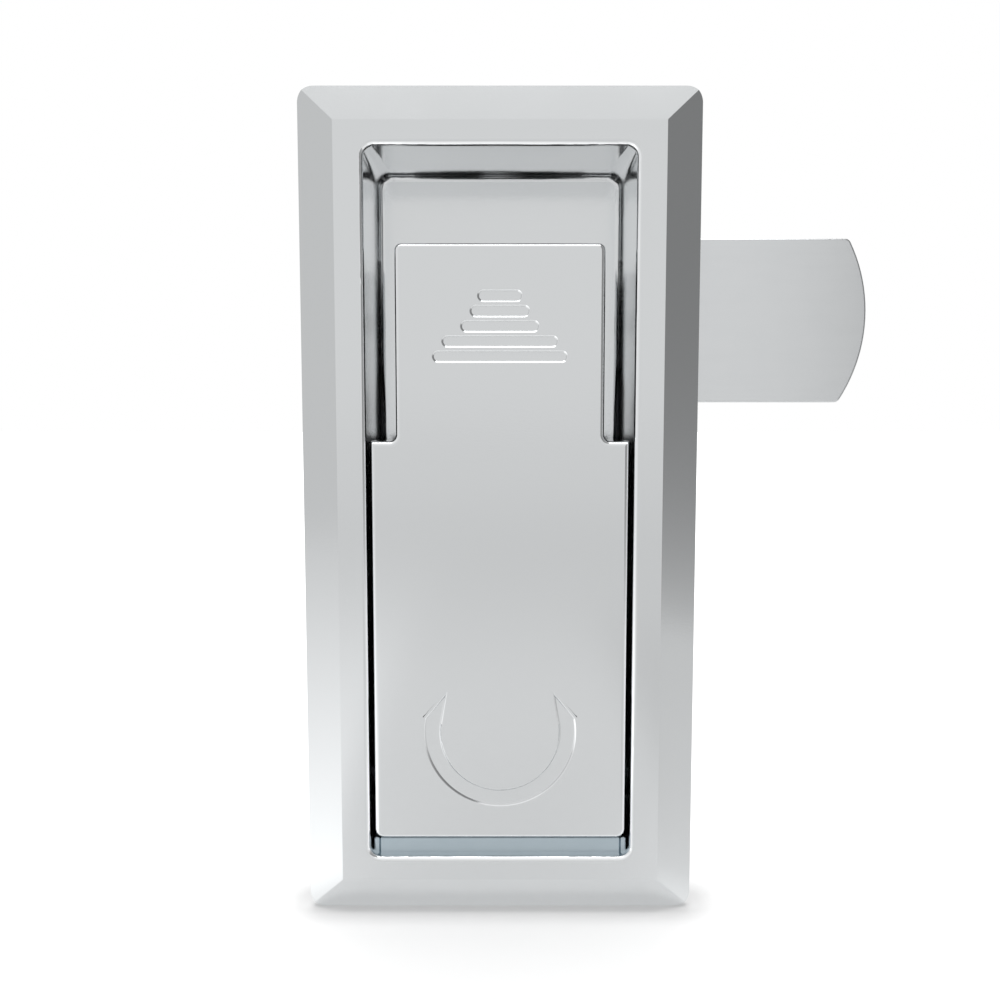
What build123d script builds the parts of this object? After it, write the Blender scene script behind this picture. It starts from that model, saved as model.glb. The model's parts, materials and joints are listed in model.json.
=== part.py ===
"""Flush lift-and-turn compression latch, as separate pieces.

Frame: X right, Z up, Y into the panel. The origin is the centre of the panel's
cut-out, on the plane where the bezel's back lies on the panel. All sizes are in
millimetres. The latch is drawn closed: the handle is folded flush with the bezel
and its cams hold the spindle in its outermost place.
"""
from math import atan, cos, degrees, radians, sin, sqrt, tan
import os

from build123d import *

os.makedirs("parts", exist_ok=True)

# Bezel
BEZEL_W = 54.0
BEZEL_H = 113.4
BEZEL_RIM = 1.3
BEZEL_CHAMFER_IN = 5.0
BEZEL_CHAMFER_DEEP = 2.4
BEZEL_CORNER_R = 2.2
BEZEL_T = BEZEL_RIM + BEZEL_CHAMFER_DEEP
FRONT_Y = -BEZEL_T
SIDE_BORDER = 3.9
END_BORDER = 3.25

# Pan behind the bezel
RECESS_W = BEZEL_W - 2 * (BEZEL_CHAMFER_IN + SIDE_BORDER)
RECESS_H = BEZEL_H - 2 * (BEZEL_CHAMFER_IN + END_BORDER)
RECESS_DRAFT = 2.6
RECESS_CORNER_R = 1.4
RECESS_FLOOR_R = 1.3
RECESS_MOUTH_R = 0.7
PAN_WALL = 1.8
PAN_FLOOR = 1.8
PAN_OUT_W = RECESS_W + 2 * PAN_WALL
PAN_OUT_H = RECESS_H + 2 * PAN_WALL
PAN_OUT_R = RECESS_CORNER_R + PAN_WALL
PAN_BACK_R = 0.9
BARREL_ROOT_R = 0.6
BOSS_ROOT_R = 0.5
PLANE_TOL = 0.01

# Gasket
GASKET_W = 2.4
GASKET_T = 1.2
GASKET_INSET = 1.7

# Spindle's axis and the lift
STROKE = 2.8
LIFT_DEG = 90.0
CAM_SLOPE = STROKE / radians(LIFT_DEG)
TOP_REACH = 8.1
FINGER_SPACE = 12.6
SPINDLE_Z = RECESS_H / 2 - FINGER_SPACE - TOP_REACH
CAM_REACH = TOP_REACH + STROKE
PIN_DEPTH = 4.9
PIN_Y = FRONT_Y + PIN_DEPTH
CAM_FLAT = 3.4
CAM_GAP = 0.3
WEAR_T = 1.0

# The recess is as deep as the folded cam, its gap and the wear plate
WEAR_Y = PIN_Y + CAM_REACH + CAM_GAP
FLOOR_Y = WEAR_Y + WEAR_T
PAN_BACK_Y = FLOOR_Y + PAN_FLOOR
RECESS_DEPTH = FLOOR_Y - FRONT_Y
RECESS_SHRINK = 2 * RECESS_DEPTH * tan(radians(RECESS_DRAFT))

# Handle
SIDE_GAP = 0.65
FOOT_GAP = 2.7
SHOULDER_STEP = 3.4
SHOULDER_DROP = 18.15
HANDLE_TOP_Z = SPINDLE_Z + TOP_REACH
HANDLE_BOTTOM_Z = FOOT_GAP - RECESS_H / 2
SHOULDER_Z = SPINDLE_Z - SHOULDER_DROP
WIDE_W = RECESS_W - 2 * SIDE_GAP
NARROW_W = WIDE_W - 2 * SHOULDER_STEP
HANDLE_DEPTH = 6.6
HANDLE_SKIN = 2.6
HUB_SKIN = 1.7
HANDLE_RIM_T = 2.0
HANDLE_EDGE_R = 0.7
HANDLE_TOP_R = 0.9
SHOULDER_IN_R = 0.9
SHOULDER_OUT_R = 0.6
HANDLE_FOOT_R = 1.2
EAR_T = 4.4
EAR_SET_IN = 0.12
RIB_T = 1.8
HUB_DROP = 12.5
EAR_FOOT = 2.0
HUB_RIB_Z = SPINDLE_Z - HUB_DROP
EAR_FOOT_Z = HUB_RIB_Z - EAR_FOOT
LOW_PAD_H = 12.0
MID_RIB_Z = (SHOULDER_Z + HANDLE_BOTTOM_Z + LOW_PAD_H) / 2
HOLLOW_NARROW_X = NARROW_W / 2 - HANDLE_RIM_T
HOLLOW_WIDE_X = WIDE_W / 2 - HANDLE_RIM_T
HOLLOW_STEP_Z = SHOULDER_Z - HANDLE_RIM_T
HOLLOW_FLOOR_R = 0.6
CAM_STEPS = 12

# Grip bars and turn arrow, sunk into the handle's front
ARROW_RISE = 15.22
BAR_H = 1.74
BAR_RISE = 1.19
BAR_PITCH = 2.005
BAR_TOP_Z = SPINDLE_Z + BAR_RISE
BAR_WIDTHS = (6.15, 8.17, 10.7, 15.72, 18.26)
BAR_DEEP = 0.35
MARK_TAPER = 35.0
ARROW_Z = HANDLE_BOTTOM_Z + ARROW_RISE
ARROW_R_OUT = 10.54
ARROW_R_IN = 8.37
ARROW_DEEP = 0.35
ARROW_EDGE = 0.24
ARROW_OUT_DEG = 11.6
ARROW_IN_DEG = 10.0
ARROW_TIP = (7.45, 5.45)
ARROW_BARB = (8.0, 1.28)
ARROW_PIT_R = 0.3
ARROW_PIT_DEEP = 0.5

# Spindle, bush and barrel
SHAFT_R = 5.0
RUN_FIT = 0.05
SEAT_GAP = 0.3
TANG_W = 9.0
TANG_UP = 2.9
TANG_DOWN = 4.5
PIN_R = 1.75
PIN_SET_IN = 0.3
SPACER_R = 2.9
SPACER_GAP = 0.15
PRESS_FIT = 0.02
BUSH_WALL = 1.5
BUSH_R = SHAFT_R + RUN_FIT + BUSH_WALL
BARREL_WALL = 2.4
BARREL_R = BUSH_R + BARREL_WALL
BARREL_LENGTH = 3.3
BARREL_END_Y = PAN_BACK_Y + BARREL_LENGTH
SEAL_T = 1.55
SEAL_LIP = 1.1
SEAL_LIP_FIT = 0.3
BUSH_END_Y = BARREL_END_Y - SEAL_LIP - SEAL_T
SHAFT_FREE = TOP_REACH + 0.4

# Wear plate
WEAR_SIDE = 0.75
WEAR_W = NARROW_W + 2 * WEAR_SIDE
WEAR_UP = 8.8
WEAR_DOWN = 8.4
WEAR_CORNER_R = 1.5
WEAR_SCREW_X = 7.9
WEAR_SCREW_DROP = 6.0
WEAR_SCREW_Z = SPINDLE_Z - WEAR_SCREW_DROP
WEAR_SCREW_R = 1.0
WEAR_HEAD_R = 1.7
WEAR_SCREW_L = 2.4
WEAR_HEAD_TAPER = 45.0
WEAR_SLOT = 0.5
WEAR_SLOT_DEEP = 0.45

# Pawl and what holds it
PAWL_BEHIND = 2.5
PAWL_FACE_Y = BARREL_END_Y + PAWL_BEHIND
PAWL_T = 3.0
PAWL_W = 25.5
PAWL_REACH = 57.6
PAWL_END_R = 25.0
PAWL_END_RISE = 0.9
PAWL_TAIL_R = PAWL_W / 2
PAWL_CORNER_R = 1.0
PAWL_EDGE_R = 0.3
SQUARE = 8.0
SQUARE_FIT = 0.1
THREAD_R = 4.0
THREAD_FIT = 0.05
THREAD_REST = 2.4
THREAD_CHAMFER = 0.8
STOP_PIN_R = 1.25
STOP_PIN_GAP = 0.3
STOP_PIN_AT = PAWL_TAIL_R + STOP_PIN_GAP + STOP_PIN_R
STOP_T = 1.5
STOP_HORN = 1.1
STOP_DISC_GAP = 0.45
STOP_R = STOP_PIN_AT + STOP_HORN
STOP_DISC_R = STOP_PIN_AT - STOP_PIN_R - STOP_DISC_GAP
STOP_SPAN_DEG = 80.0
STOP_PIN_DEG = 136.0
STOP_PIN_SPREAD = 360 - 2 * STOP_PIN_DEG
STOP_PIN_REACH = 2.3
STOP_PIN_END_Y = PAWL_FACE_Y + STOP_PIN_REACH
STOP_BOSS_R = 2.2
STOP_BOSS_H = 1.4
STOP_HOLE_REST = 0.8
SPRING_WIRE = 1.2
SPRING_R_SMALL = BARREL_R + 1.1
SPRING_R_BIG = 11.2
SPRING_TURNS = 2.5
SPRING_SEAT = 0.05
NUT_AF = 13.0
NUT_H = 6.5
NUT_CORNER_R = NUT_AF / sqrt(3)
NUT_CHAMFER = (NUT_CORNER_R - NUT_AF / 2) * tan(radians(30))
PAWL_WASHER_R = 8.0
PAWL_WASHER_T = 1.6
LOCK_R = 6.6
LOCK_T = 2.0
LOCK_SLIT = 1.2

# Clamp brackets
PANEL_T = 2.5
BRACKET_T = 1.6
BRACKET_W = 6.4
BRACKET_GAP = 0.5
BRACKET_FOOT = 4.0
BRACKET_BEND_R = 2.2
BRACKET_INSET = 5.4
BRACKET_AT = PAN_OUT_H / 2 - BRACKET_INSET
BOSS_R = 2.9
BOSS_H = 3.2
BOSS_HOLE_REST = 0.9
SCREW_R = 2.0
SCREW_FIT = 0.05
SCREW_CLEAR = 0.25
SCREW_HEAD_R = 3.2
SCREW_HEAD_T = 2.2
SCREW_HEAD_ROUND = 0.7
SCREW_L = 6.0
SCREW_SLOT = 0.9
SCREW_SLOT_DEEP = 1.1
SCREW_WASHER_R = 3.2
SCREW_WASHER_T = 0.6

# Rest buffers
BUFFER_R = 3.2
BUFFER_IN = 8.45
BUFFER_X = WIDE_W / 2 - BUFFER_IN
BUFFER_RISE = 8.75
BUFFER_Z = HANDLE_BOTTOM_Z + BUFFER_RISE
BUFFER_FIT = 0.03
BUFFER_GAP = 0.3
SOCKET_R = 4.6
SOCKET_H = 4.0
SOCKET_REST = 0.6


def front_plane(y):
    """Plane across the latch at depth y, drawn as X right and Z up."""
    return Plane(origin=(0, y, 0), x_dir=(1, 0, 0), z_dir=(0, -1, 0))


def side_plane(x):
    """Plane along the latch at width x, drawn as Y (inwards) and Z up."""
    return Plane(origin=(x, 0, 0), x_dir=(0, 1, 0), z_dir=(1, 0, 0))


def flat(x, z):
    """Point on a plane that looks inwards, whose second direction is down."""
    return (x, -z)


def inward_plane(y):
    """Plane across the latch at depth y that extrudes inwards."""
    return Plane(origin=(0, y, 0), x_dir=(1, 0, 0), z_dir=(0, 1, 0))


def circles_at(piece, y, radius):
    """Round edges of that radius that lie at depth y."""
    level = piece.edges().filter_by(GeomType.CIRCLE).filter_by_position(Axis.Y, y - PLANE_TOL, y + PLANE_TOL)
    return level.filter_by(lambda edge: abs(edge.radius - radius) < PLANE_TOL)


AXIS_POINT = flat(0, SPINDLE_Z)


def cam_point(degree):
    """Point of the cam that bears on the wear plate at a lift of so many degrees.

    The cam's reach falls in step with the lift: reach = CAM_REACH - CAM_SLOPE * turn.
    """
    turn = radians(degree)
    reach = CAM_REACH - CAM_SLOPE * turn
    return (PIN_Y + reach * cos(turn) + CAM_SLOPE * sin(turn),
            SPINDLE_Z + reach * sin(turn) - CAM_SLOPE * cos(turn))


# Housing: bezel, pan and barrel in one casting
with BuildPart() as housing:
    # Bezel: flat rim, then a chamfer with sharp mitres, cut to round corners
    with BuildSketch(front_plane(0)):
        Rectangle(BEZEL_W, BEZEL_H)
    extrude(amount=BEZEL_RIM)
    with BuildSketch(front_plane(-BEZEL_RIM)):
        Rectangle(BEZEL_W, BEZEL_H)
    with BuildSketch(front_plane(FRONT_Y)):
        Rectangle(BEZEL_W - 2 * BEZEL_CHAMFER_IN, BEZEL_H - 2 * BEZEL_CHAMFER_IN)
    loft()
    with BuildSketch(front_plane(0)):
        RectangleRounded(BEZEL_W, BEZEL_H, BEZEL_CORNER_R)
    extrude(amount=BEZEL_T, mode=Mode.INTERSECT)
    # Pan's outside, drawn in towards the floor like the recess
    with BuildSketch(inward_plane(0)):
        RectangleRounded(PAN_OUT_W, PAN_OUT_H, PAN_OUT_R)
    with BuildSketch(inward_plane(PAN_BACK_Y)):
        RectangleRounded(PAN_OUT_W - RECESS_SHRINK, PAN_OUT_H - RECESS_SHRINK, PAN_OUT_R)
    loft()
    fillet(housing.edges().group_by(Axis.Y)[-1], PAN_BACK_R)
    # Recess
    with BuildSketch(inward_plane(FRONT_Y)):
        RectangleRounded(RECESS_W, RECESS_H, RECESS_CORNER_R)
    with BuildSketch(inward_plane(FLOOR_Y)):
        RectangleRounded(RECESS_W - RECESS_SHRINK, RECESS_H - RECESS_SHRINK, RECESS_CORNER_R)
    loft(mode=Mode.SUBTRACT)
    floor_edges = housing.edges().filter_by_position(Axis.Y, FLOOR_Y - PLANE_TOL, FLOOR_Y + PLANE_TOL)
    fillet(floor_edges, RECESS_FLOOR_R)
    front_faces = housing.faces().filter_by_position(Axis.Y, FRONT_Y - PLANE_TOL, FRONT_Y + PLANE_TOL)
    fillet(front_faces[0].inner_wires().edges(), RECESS_MOUTH_R)
    # Groove for the gasket in the bezel's back
    with BuildSketch(front_plane(0)):
        RectangleRounded(BEZEL_W - 2 * GASKET_INSET, BEZEL_H - 2 * GASKET_INSET, BEZEL_CORNER_R)
        RectangleRounded(BEZEL_W - 2 * (GASKET_INSET + GASKET_W),
                         BEZEL_H - 2 * (GASKET_INSET + GASKET_W), BEZEL_CORNER_R, mode=Mode.SUBTRACT)
    extrude(amount=GASKET_T, mode=Mode.SUBTRACT)
    # Barrel with a bush bore, a seal groove and a lip behind it
    with BuildSketch(inward_plane(PAN_BACK_Y)):
        with Locations(AXIS_POINT):
            Circle(BARREL_R)
    extrude(amount=BARREL_LENGTH)
    fillet(circles_at(housing, PAN_BACK_Y, BARREL_R), BARREL_ROOT_R)
    with BuildSketch(inward_plane(FLOOR_Y - WEAR_T)):
        with Locations(AXIS_POINT):
            Circle(BUSH_R + PRESS_FIT)
    extrude(amount=BARREL_END_Y - SEAL_LIP - FLOOR_Y + WEAR_T, mode=Mode.SUBTRACT)
    with BuildSketch(inward_plane(FLOOR_Y)):
        with Locations(AXIS_POINT):
            Circle(SHAFT_R + SEAL_LIP_FIT)
    extrude(amount=BARREL_END_Y - FLOOR_Y, mode=Mode.SUBTRACT)
    # Bosses for the bracket screws, seats for the stop pins
    with BuildSketch(inward_plane(PAN_BACK_Y)):
        with Locations(flat(0, BRACKET_AT), flat(0, -BRACKET_AT)):
            Circle(BOSS_R)
    extrude(amount=BOSS_H)
    fillet(circles_at(housing, PAN_BACK_Y, BOSS_R), BOSS_ROOT_R)
    with BuildSketch(inward_plane(PAN_BACK_Y + BOSS_H)):
        with Locations(flat(0, BRACKET_AT), flat(0, -BRACKET_AT)):
            Circle(SCREW_R + SCREW_FIT)
    extrude(amount=BOSS_HOLE_REST - BOSS_H - PAN_FLOOR, mode=Mode.SUBTRACT)
    with BuildSketch(inward_plane(PAN_BACK_Y)):
        with Locations(AXIS_POINT):
            with PolarLocations(STOP_PIN_AT, 2, STOP_PIN_DEG, STOP_PIN_SPREAD, endpoint=True):
                Circle(STOP_BOSS_R)
    extrude(amount=STOP_BOSS_H)
    with BuildSketch(inward_plane(PAN_BACK_Y + STOP_BOSS_H)):
        with Locations(AXIS_POINT):
            with PolarLocations(STOP_PIN_AT, 2, STOP_PIN_DEG, STOP_PIN_SPREAD, endpoint=True):
                Circle(STOP_PIN_R + PRESS_FIT)
    extrude(amount=STOP_HOLE_REST - STOP_BOSS_H - PAN_FLOOR, mode=Mode.SUBTRACT)
    # Sockets for the rest buffers and holes for the wear plate's screws
    with BuildSketch(inward_plane(FLOOR_Y - SOCKET_H)):
        with Locations(flat(BUFFER_X, BUFFER_Z), flat(-BUFFER_X, BUFFER_Z)):
            Circle(SOCKET_R)
    extrude(amount=SOCKET_H + PAN_FLOOR / 2)
    with BuildSketch(inward_plane(FLOOR_Y - SOCKET_H)):
        with Locations(flat(BUFFER_X, BUFFER_Z), flat(-BUFFER_X, BUFFER_Z)):
            Circle(BUFFER_R + BUFFER_FIT)
    extrude(amount=SOCKET_H - SOCKET_REST, mode=Mode.SUBTRACT)
    with BuildSketch(inward_plane(FLOOR_Y - WEAR_T)):
        with Locations(flat(WEAR_SCREW_X, WEAR_SCREW_Z), flat(-WEAR_SCREW_X, WEAR_SCREW_Z)):
            Circle(WEAR_SCREW_R + PRESS_FIT)
    extrude(amount=WEAR_SCREW_L, mode=Mode.SUBTRACT)
housing.part.label = "housing"
export_step(housing.part, "parts/housing.step")


# Gasket in the bezel's back
with BuildPart() as bezel_gasket:
    with BuildSketch(front_plane(0)):
        RectangleRounded(BEZEL_W - 2 * GASKET_INSET, BEZEL_H - 2 * GASKET_INSET, BEZEL_CORNER_R)
        RectangleRounded(BEZEL_W - 2 * (GASKET_INSET + GASKET_W),
                         BEZEL_H - 2 * (GASKET_INSET + GASKET_W), BEZEL_CORNER_R, mode=Mode.SUBTRACT)
    extrude(amount=GASKET_T)
bezel_gasket.part.label = "bezel_gasket"
export_step(bezel_gasket.part, "parts/bezel_gasket.step")


# Wear plate that the handle's cams bear on, with countersunk holes
with BuildPart() as wear_plate:
    with BuildSketch(inward_plane(WEAR_Y)):
        with Locations(flat(0, SPINDLE_Z + (WEAR_UP - WEAR_DOWN) / 2)):
            RectangleRounded(WEAR_W, WEAR_UP + WEAR_DOWN, WEAR_CORNER_R)
        with Locations(AXIS_POINT):
            Circle(BUSH_R + RUN_FIT, mode=Mode.SUBTRACT)
        with Locations(flat(WEAR_SCREW_X, WEAR_SCREW_Z), flat(-WEAR_SCREW_X, WEAR_SCREW_Z)):
            Circle(WEAR_SCREW_R, mode=Mode.SUBTRACT)
    extrude(amount=WEAR_T)
    chamfer(circles_at(wear_plate, WEAR_Y, WEAR_SCREW_R), WEAR_HEAD_R - WEAR_SCREW_R)
wear_plate.part.label = "wear_plate"
export_step(wear_plate.part, "parts/wear_plate.step")


# Slotted countersunk screws of the wear plate
with BuildPart() as wear_screws:
    with BuildSketch(inward_plane(WEAR_Y + WEAR_SCREW_L)):
        with Locations(flat(WEAR_SCREW_X, WEAR_SCREW_Z), flat(-WEAR_SCREW_X, WEAR_SCREW_Z)):
            Circle(WEAR_SCREW_R - PRESS_FIT)
    extrude(amount=-WEAR_SCREW_L)
    with BuildSketch(inward_plane(WEAR_Y)):
        with Locations(flat(WEAR_SCREW_X, WEAR_SCREW_Z), flat(-WEAR_SCREW_X, WEAR_SCREW_Z)):
            Circle(WEAR_HEAD_R - PRESS_FIT)
    extrude(amount=WEAR_HEAD_R - WEAR_SCREW_R, taper=WEAR_HEAD_TAPER)
    with BuildSketch(inward_plane(WEAR_Y)):
        with Locations(flat(WEAR_SCREW_X, WEAR_SCREW_Z), flat(-WEAR_SCREW_X, WEAR_SCREW_Z)):
            Rectangle(2 * WEAR_HEAD_R, WEAR_SLOT)
    extrude(amount=WEAR_SLOT_DEEP, mode=Mode.SUBTRACT)
wear_screws.part.label = "wear_screws"
export_step(wear_screws.part, "parts/wear_screws.step")


# Bush in the barrel, its front level with the wear plate
with BuildPart() as spindle_bush:
    with BuildSketch(inward_plane(WEAR_Y)):
        with Locations(AXIS_POINT):
            Circle(BUSH_R)
            Circle(SHAFT_R + RUN_FIT, mode=Mode.SUBTRACT)
    extrude(amount=BUSH_END_Y - WEAR_Y)
spindle_bush.part.label = "spindle_bush"
export_step(spindle_bush.part, "parts/spindle_bush.step")


# Seal behind the bush
with BuildPart() as spindle_seal:
    with BuildSketch(side_plane(0)):
        with Locations((BUSH_END_Y + SEAL_T / 2, SPINDLE_Z + (BUSH_R + SHAFT_R + RUN_FIT) / 2)):
            Circle((BUSH_R - SHAFT_R - RUN_FIT) / 2)
    revolve(axis=Axis((0, 0, SPINDLE_Z), (0, 1, 0)))
spindle_seal.part.label = "spindle_seal"
export_step(spindle_seal.part, "parts/spindle_seal.step")


# Dowels that limit the turn
with BuildPart() as stop_pins:
    with BuildSketch(inward_plane(PAN_BACK_Y + STOP_HOLE_REST - PAN_FLOOR)):
        with Locations(AXIS_POINT):
            with PolarLocations(STOP_PIN_AT, 2, STOP_PIN_DEG, STOP_PIN_SPREAD, endpoint=True):
                Circle(STOP_PIN_R)
    extrude(amount=STOP_PIN_END_Y - PAN_BACK_Y - STOP_HOLE_REST + PAN_FLOOR)
stop_pins.part.label = "stop_pins"
export_step(stop_pins.part, "parts/stop_pins.step")


# Rubber buffers under the handle's long end
with BuildPart() as rest_buffers:
    with BuildSketch(inward_plane(FRONT_Y + HANDLE_DEPTH + BUFFER_GAP)):
        with Locations(flat(BUFFER_X, BUFFER_Z), flat(-BUFFER_X, BUFFER_Z)):
            Circle(BUFFER_R)
    extrude(amount=FLOOR_Y - SOCKET_REST - FRONT_Y - HANDLE_DEPTH - BUFFER_GAP)
    fillet(rest_buffers.edges().group_by(Axis.Y)[0], RECESS_MOUTH_R)
rest_buffers.part.label = "rest_buffers"
export_step(rest_buffers.part, "parts/rest_buffers.step")


# Two saddles that clamp the panel, one across each end of the pan
BRACKET_IN_X = PAN_OUT_W / 2 + BRACKET_GAP
BRACKET_WEB_Y = PAN_BACK_Y + BOSS_H
FOOT_X = BRACKET_IN_X + BRACKET_T + BRACKET_FOOT
with BuildPart() as clamp_brackets:
    for end in (-1, 1):
        with BuildSketch(Plane.XY.offset(end * BRACKET_AT - BRACKET_W / 2)):
            with BuildLine():
                Polyline((-FOOT_X, PANEL_T), (-FOOT_X, PANEL_T + BRACKET_T),
                         (-BRACKET_IN_X - BRACKET_T, PANEL_T + BRACKET_T),
                         (-BRACKET_IN_X - BRACKET_T, BRACKET_WEB_Y + BRACKET_T),
                         (BRACKET_IN_X + BRACKET_T, BRACKET_WEB_Y + BRACKET_T),
                         (BRACKET_IN_X + BRACKET_T, PANEL_T + BRACKET_T),
                         (FOOT_X, PANEL_T + BRACKET_T), (FOOT_X, PANEL_T), (BRACKET_IN_X, PANEL_T),
                         (BRACKET_IN_X, BRACKET_WEB_Y), (-BRACKET_IN_X, BRACKET_WEB_Y),
                         (-BRACKET_IN_X, PANEL_T), close=True)
            make_face()
        extrude(amount=BRACKET_W)
    bends = clamp_brackets.edges().filter_by(Axis.Z)
    fillet(bends.filter_by_position(Axis.Y, BRACKET_WEB_Y + BRACKET_T - 0.1, BRACKET_WEB_Y + BRACKET_T + 0.1),
           BRACKET_BEND_R)
    for end in (-1, 1):
        with BuildSketch(inward_plane(BRACKET_WEB_Y)):
            with Locations(flat(0, end * BRACKET_AT)):
                Circle(SCREW_R + SCREW_CLEAR)
        extrude(amount=BRACKET_T, mode=Mode.SUBTRACT)
clamp_brackets.part.label = "clamp_brackets"
export_step(clamp_brackets.part, "parts/clamp_brackets.step")


# Washers under the bracket screws
WASHER_Y = BRACKET_WEB_Y + BRACKET_T
with BuildPart() as clamp_washers:
    with BuildSketch(inward_plane(WASHER_Y)):
        with Locations(flat(0, BRACKET_AT), flat(0, -BRACKET_AT)):
            Circle(SCREW_WASHER_R)
            Circle(SCREW_R + SCREW_CLEAR, mode=Mode.SUBTRACT)
    extrude(amount=SCREW_WASHER_T)
clamp_washers.part.label = "clamp_washers"
export_step(clamp_washers.part, "parts/clamp_washers.step")


# Slotted pan-head screws of the brackets
HEAD_Y = WASHER_Y + SCREW_WASHER_T
with BuildPart() as clamp_screws:
    with BuildSketch(inward_plane(HEAD_Y)):
        with Locations(flat(0, BRACKET_AT), flat(0, -BRACKET_AT)):
            Circle(SCREW_HEAD_R)
    extrude(amount=SCREW_HEAD_T)
    fillet(clamp_screws.edges().group_by(Axis.Y)[-1], SCREW_HEAD_ROUND)
    with BuildSketch(inward_plane(HEAD_Y - SCREW_L)):
        with Locations(flat(0, BRACKET_AT), flat(0, -BRACKET_AT)):
            Circle(SCREW_R)
    extrude(amount=SCREW_L)
    with BuildSketch(inward_plane(HEAD_Y + SCREW_HEAD_T - SCREW_SLOT_DEEP)):
        with Locations(flat(0, BRACKET_AT), flat(0, -BRACKET_AT)):
            Rectangle(2 * SCREW_HEAD_R, SCREW_SLOT)
    extrude(amount=SCREW_SLOT_DEEP, mode=Mode.SUBTRACT)
clamp_screws.part.label = "clamp_screws"
export_step(clamp_screws.part, "parts/clamp_screws.step")


# Spindle: tang in front, round shaft, square for the pawl, thread for the nut
SHAFT_Y = PIN_Y + SHAFT_FREE
SHOULDER_Y = PAWL_FACE_Y - STOP_T
SQUARE_END_Y = PAWL_FACE_Y + PAWL_T - 2 * SQUARE_FIT
NUT_Y = PAWL_FACE_Y + PAWL_T + PAWL_WASHER_T + LOCK_T
THREAD_END_Y = NUT_Y + NUT_H + THREAD_REST
with BuildPart() as spindle:
    # Tang, round about the pin in front and thinner above it
    with BuildSketch(side_plane(0)):
        with Locations((PIN_Y, SPINDLE_Z)):
            Circle(TANG_UP)
        with BuildLine():
            Polyline((PIN_Y, SPINDLE_Z + TANG_UP), (SHAFT_Y, SPINDLE_Z + TANG_UP),
                     (SHAFT_Y, SPINDLE_Z - TANG_DOWN), (PIN_Y + TANG_DOWN - TANG_UP, SPINDLE_Z - TANG_DOWN),
                     (PIN_Y, SPINDLE_Z - TANG_UP), close=True)
        make_face()
    extrude(amount=TANG_W / 2, both=True)
    with BuildSketch(inward_plane(SHAFT_Y)):
        with Locations(AXIS_POINT):
            Circle(SHAFT_R)
    extrude(amount=SHOULDER_Y - SHAFT_Y)
    # The tang stays inside the shaft's round so that it passes through the bush
    with BuildSketch(inward_plane(PIN_Y - SHAFT_R)):
        with Locations(AXIS_POINT):
            Circle(SHAFT_R)
    extrude(amount=SHOULDER_Y - PIN_Y + SHAFT_R, mode=Mode.INTERSECT)
    with BuildSketch(inward_plane(SHOULDER_Y)):
        with Locations(AXIS_POINT):
            Circle(SHAFT_R)
            Rectangle(SQUARE, SQUARE, mode=Mode.INTERSECT)
    extrude(amount=SQUARE_END_Y - SHOULDER_Y)
    with BuildSketch(inward_plane(SQUARE_END_Y)):
        with Locations(AXIS_POINT):
            Circle(THREAD_R)
    extrude(amount=THREAD_END_Y - SQUARE_END_Y)
    chamfer(spindle.edges().group_by(Axis.Y)[-1], THREAD_CHAMFER)
    with BuildSketch(side_plane(0)):
        with Locations((PIN_Y, SPINDLE_Z)):
            Circle(PIN_R + RUN_FIT)
    extrude(amount=TANG_W, both=True, mode=Mode.SUBTRACT)
spindle.part.label = "spindle"
export_step(spindle.part, "parts/spindle.step")


# Stop washer: keyed to the square, a wide sector that meets the dowels
with BuildPart() as stop_washer:
    with BuildSketch(inward_plane(SHOULDER_Y)):
        with BuildLine():
            rim = CenterArc(AXIS_POINT, STOP_R, -STOP_SPAN_DEG / 2, STOP_SPAN_DEG)
            Line(AXIS_POINT, rim @ 0)
            Line(rim @ 1, AXIS_POINT)
        make_face()
        with Locations(AXIS_POINT):
            Circle(STOP_DISC_R)
            Rectangle(SQUARE + SQUARE_FIT, SQUARE + SQUARE_FIT, mode=Mode.SUBTRACT)
    extrude(amount=STOP_T)
stop_washer.part.label = "stop_washer"
export_step(stop_washer.part, "parts/stop_washer.step")


# Pawl: flat arm with a square hole, round behind the spindle, bowed tip
PAWL_TIP_X = PAWL_REACH - PAWL_END_R
with BuildPart() as pawl:
    with BuildSketch(inward_plane(PAWL_FACE_Y)):
        with Locations(flat(PAWL_TIP_X, SPINDLE_Z + PAWL_END_RISE)):
            Circle(PAWL_END_R)
        with Locations(flat(PAWL_REACH / 2, SPINDLE_Z)):
            Rectangle(PAWL_REACH, PAWL_W, mode=Mode.INTERSECT)
        with Locations(flat(PAWL_TIP_X / 2, SPINDLE_Z)):
            Rectangle(PAWL_TIP_X, PAWL_W)
        with Locations(AXIS_POINT):
            Circle(PAWL_TAIL_R)
    extrude(amount=PAWL_T)
    tip_corners = pawl.edges().filter_by(Axis.Y).sort_by(Axis.X)[-2:]
    fillet(tip_corners, PAWL_CORNER_R)
    fillet(pawl.edges().group_by(Axis.Y)[0] + pawl.edges().group_by(Axis.Y)[-1], PAWL_EDGE_R)
    with BuildSketch(inward_plane(PAWL_FACE_Y)):
        with Locations(AXIS_POINT):
            Rectangle(SQUARE + SQUARE_FIT, SQUARE + SQUARE_FIT)
    extrude(amount=PAWL_T, mode=Mode.SUBTRACT)
pawl.part.label = "pawl"
export_step(pawl.part, "parts/pawl.step")


# Flat washer behind the pawl
PAWL_BACK_Y = PAWL_FACE_Y + PAWL_T
with BuildPart() as pawl_washer:
    with BuildSketch(inward_plane(PAWL_BACK_Y)):
        with Locations(AXIS_POINT):
            Circle(PAWL_WASHER_R)
            Circle(THREAD_R + THREAD_FIT, mode=Mode.SUBTRACT)
    extrude(amount=PAWL_WASHER_T)
pawl_washer.part.label = "pawl_washer"
export_step(pawl_washer.part, "parts/pawl_washer.step")


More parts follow.
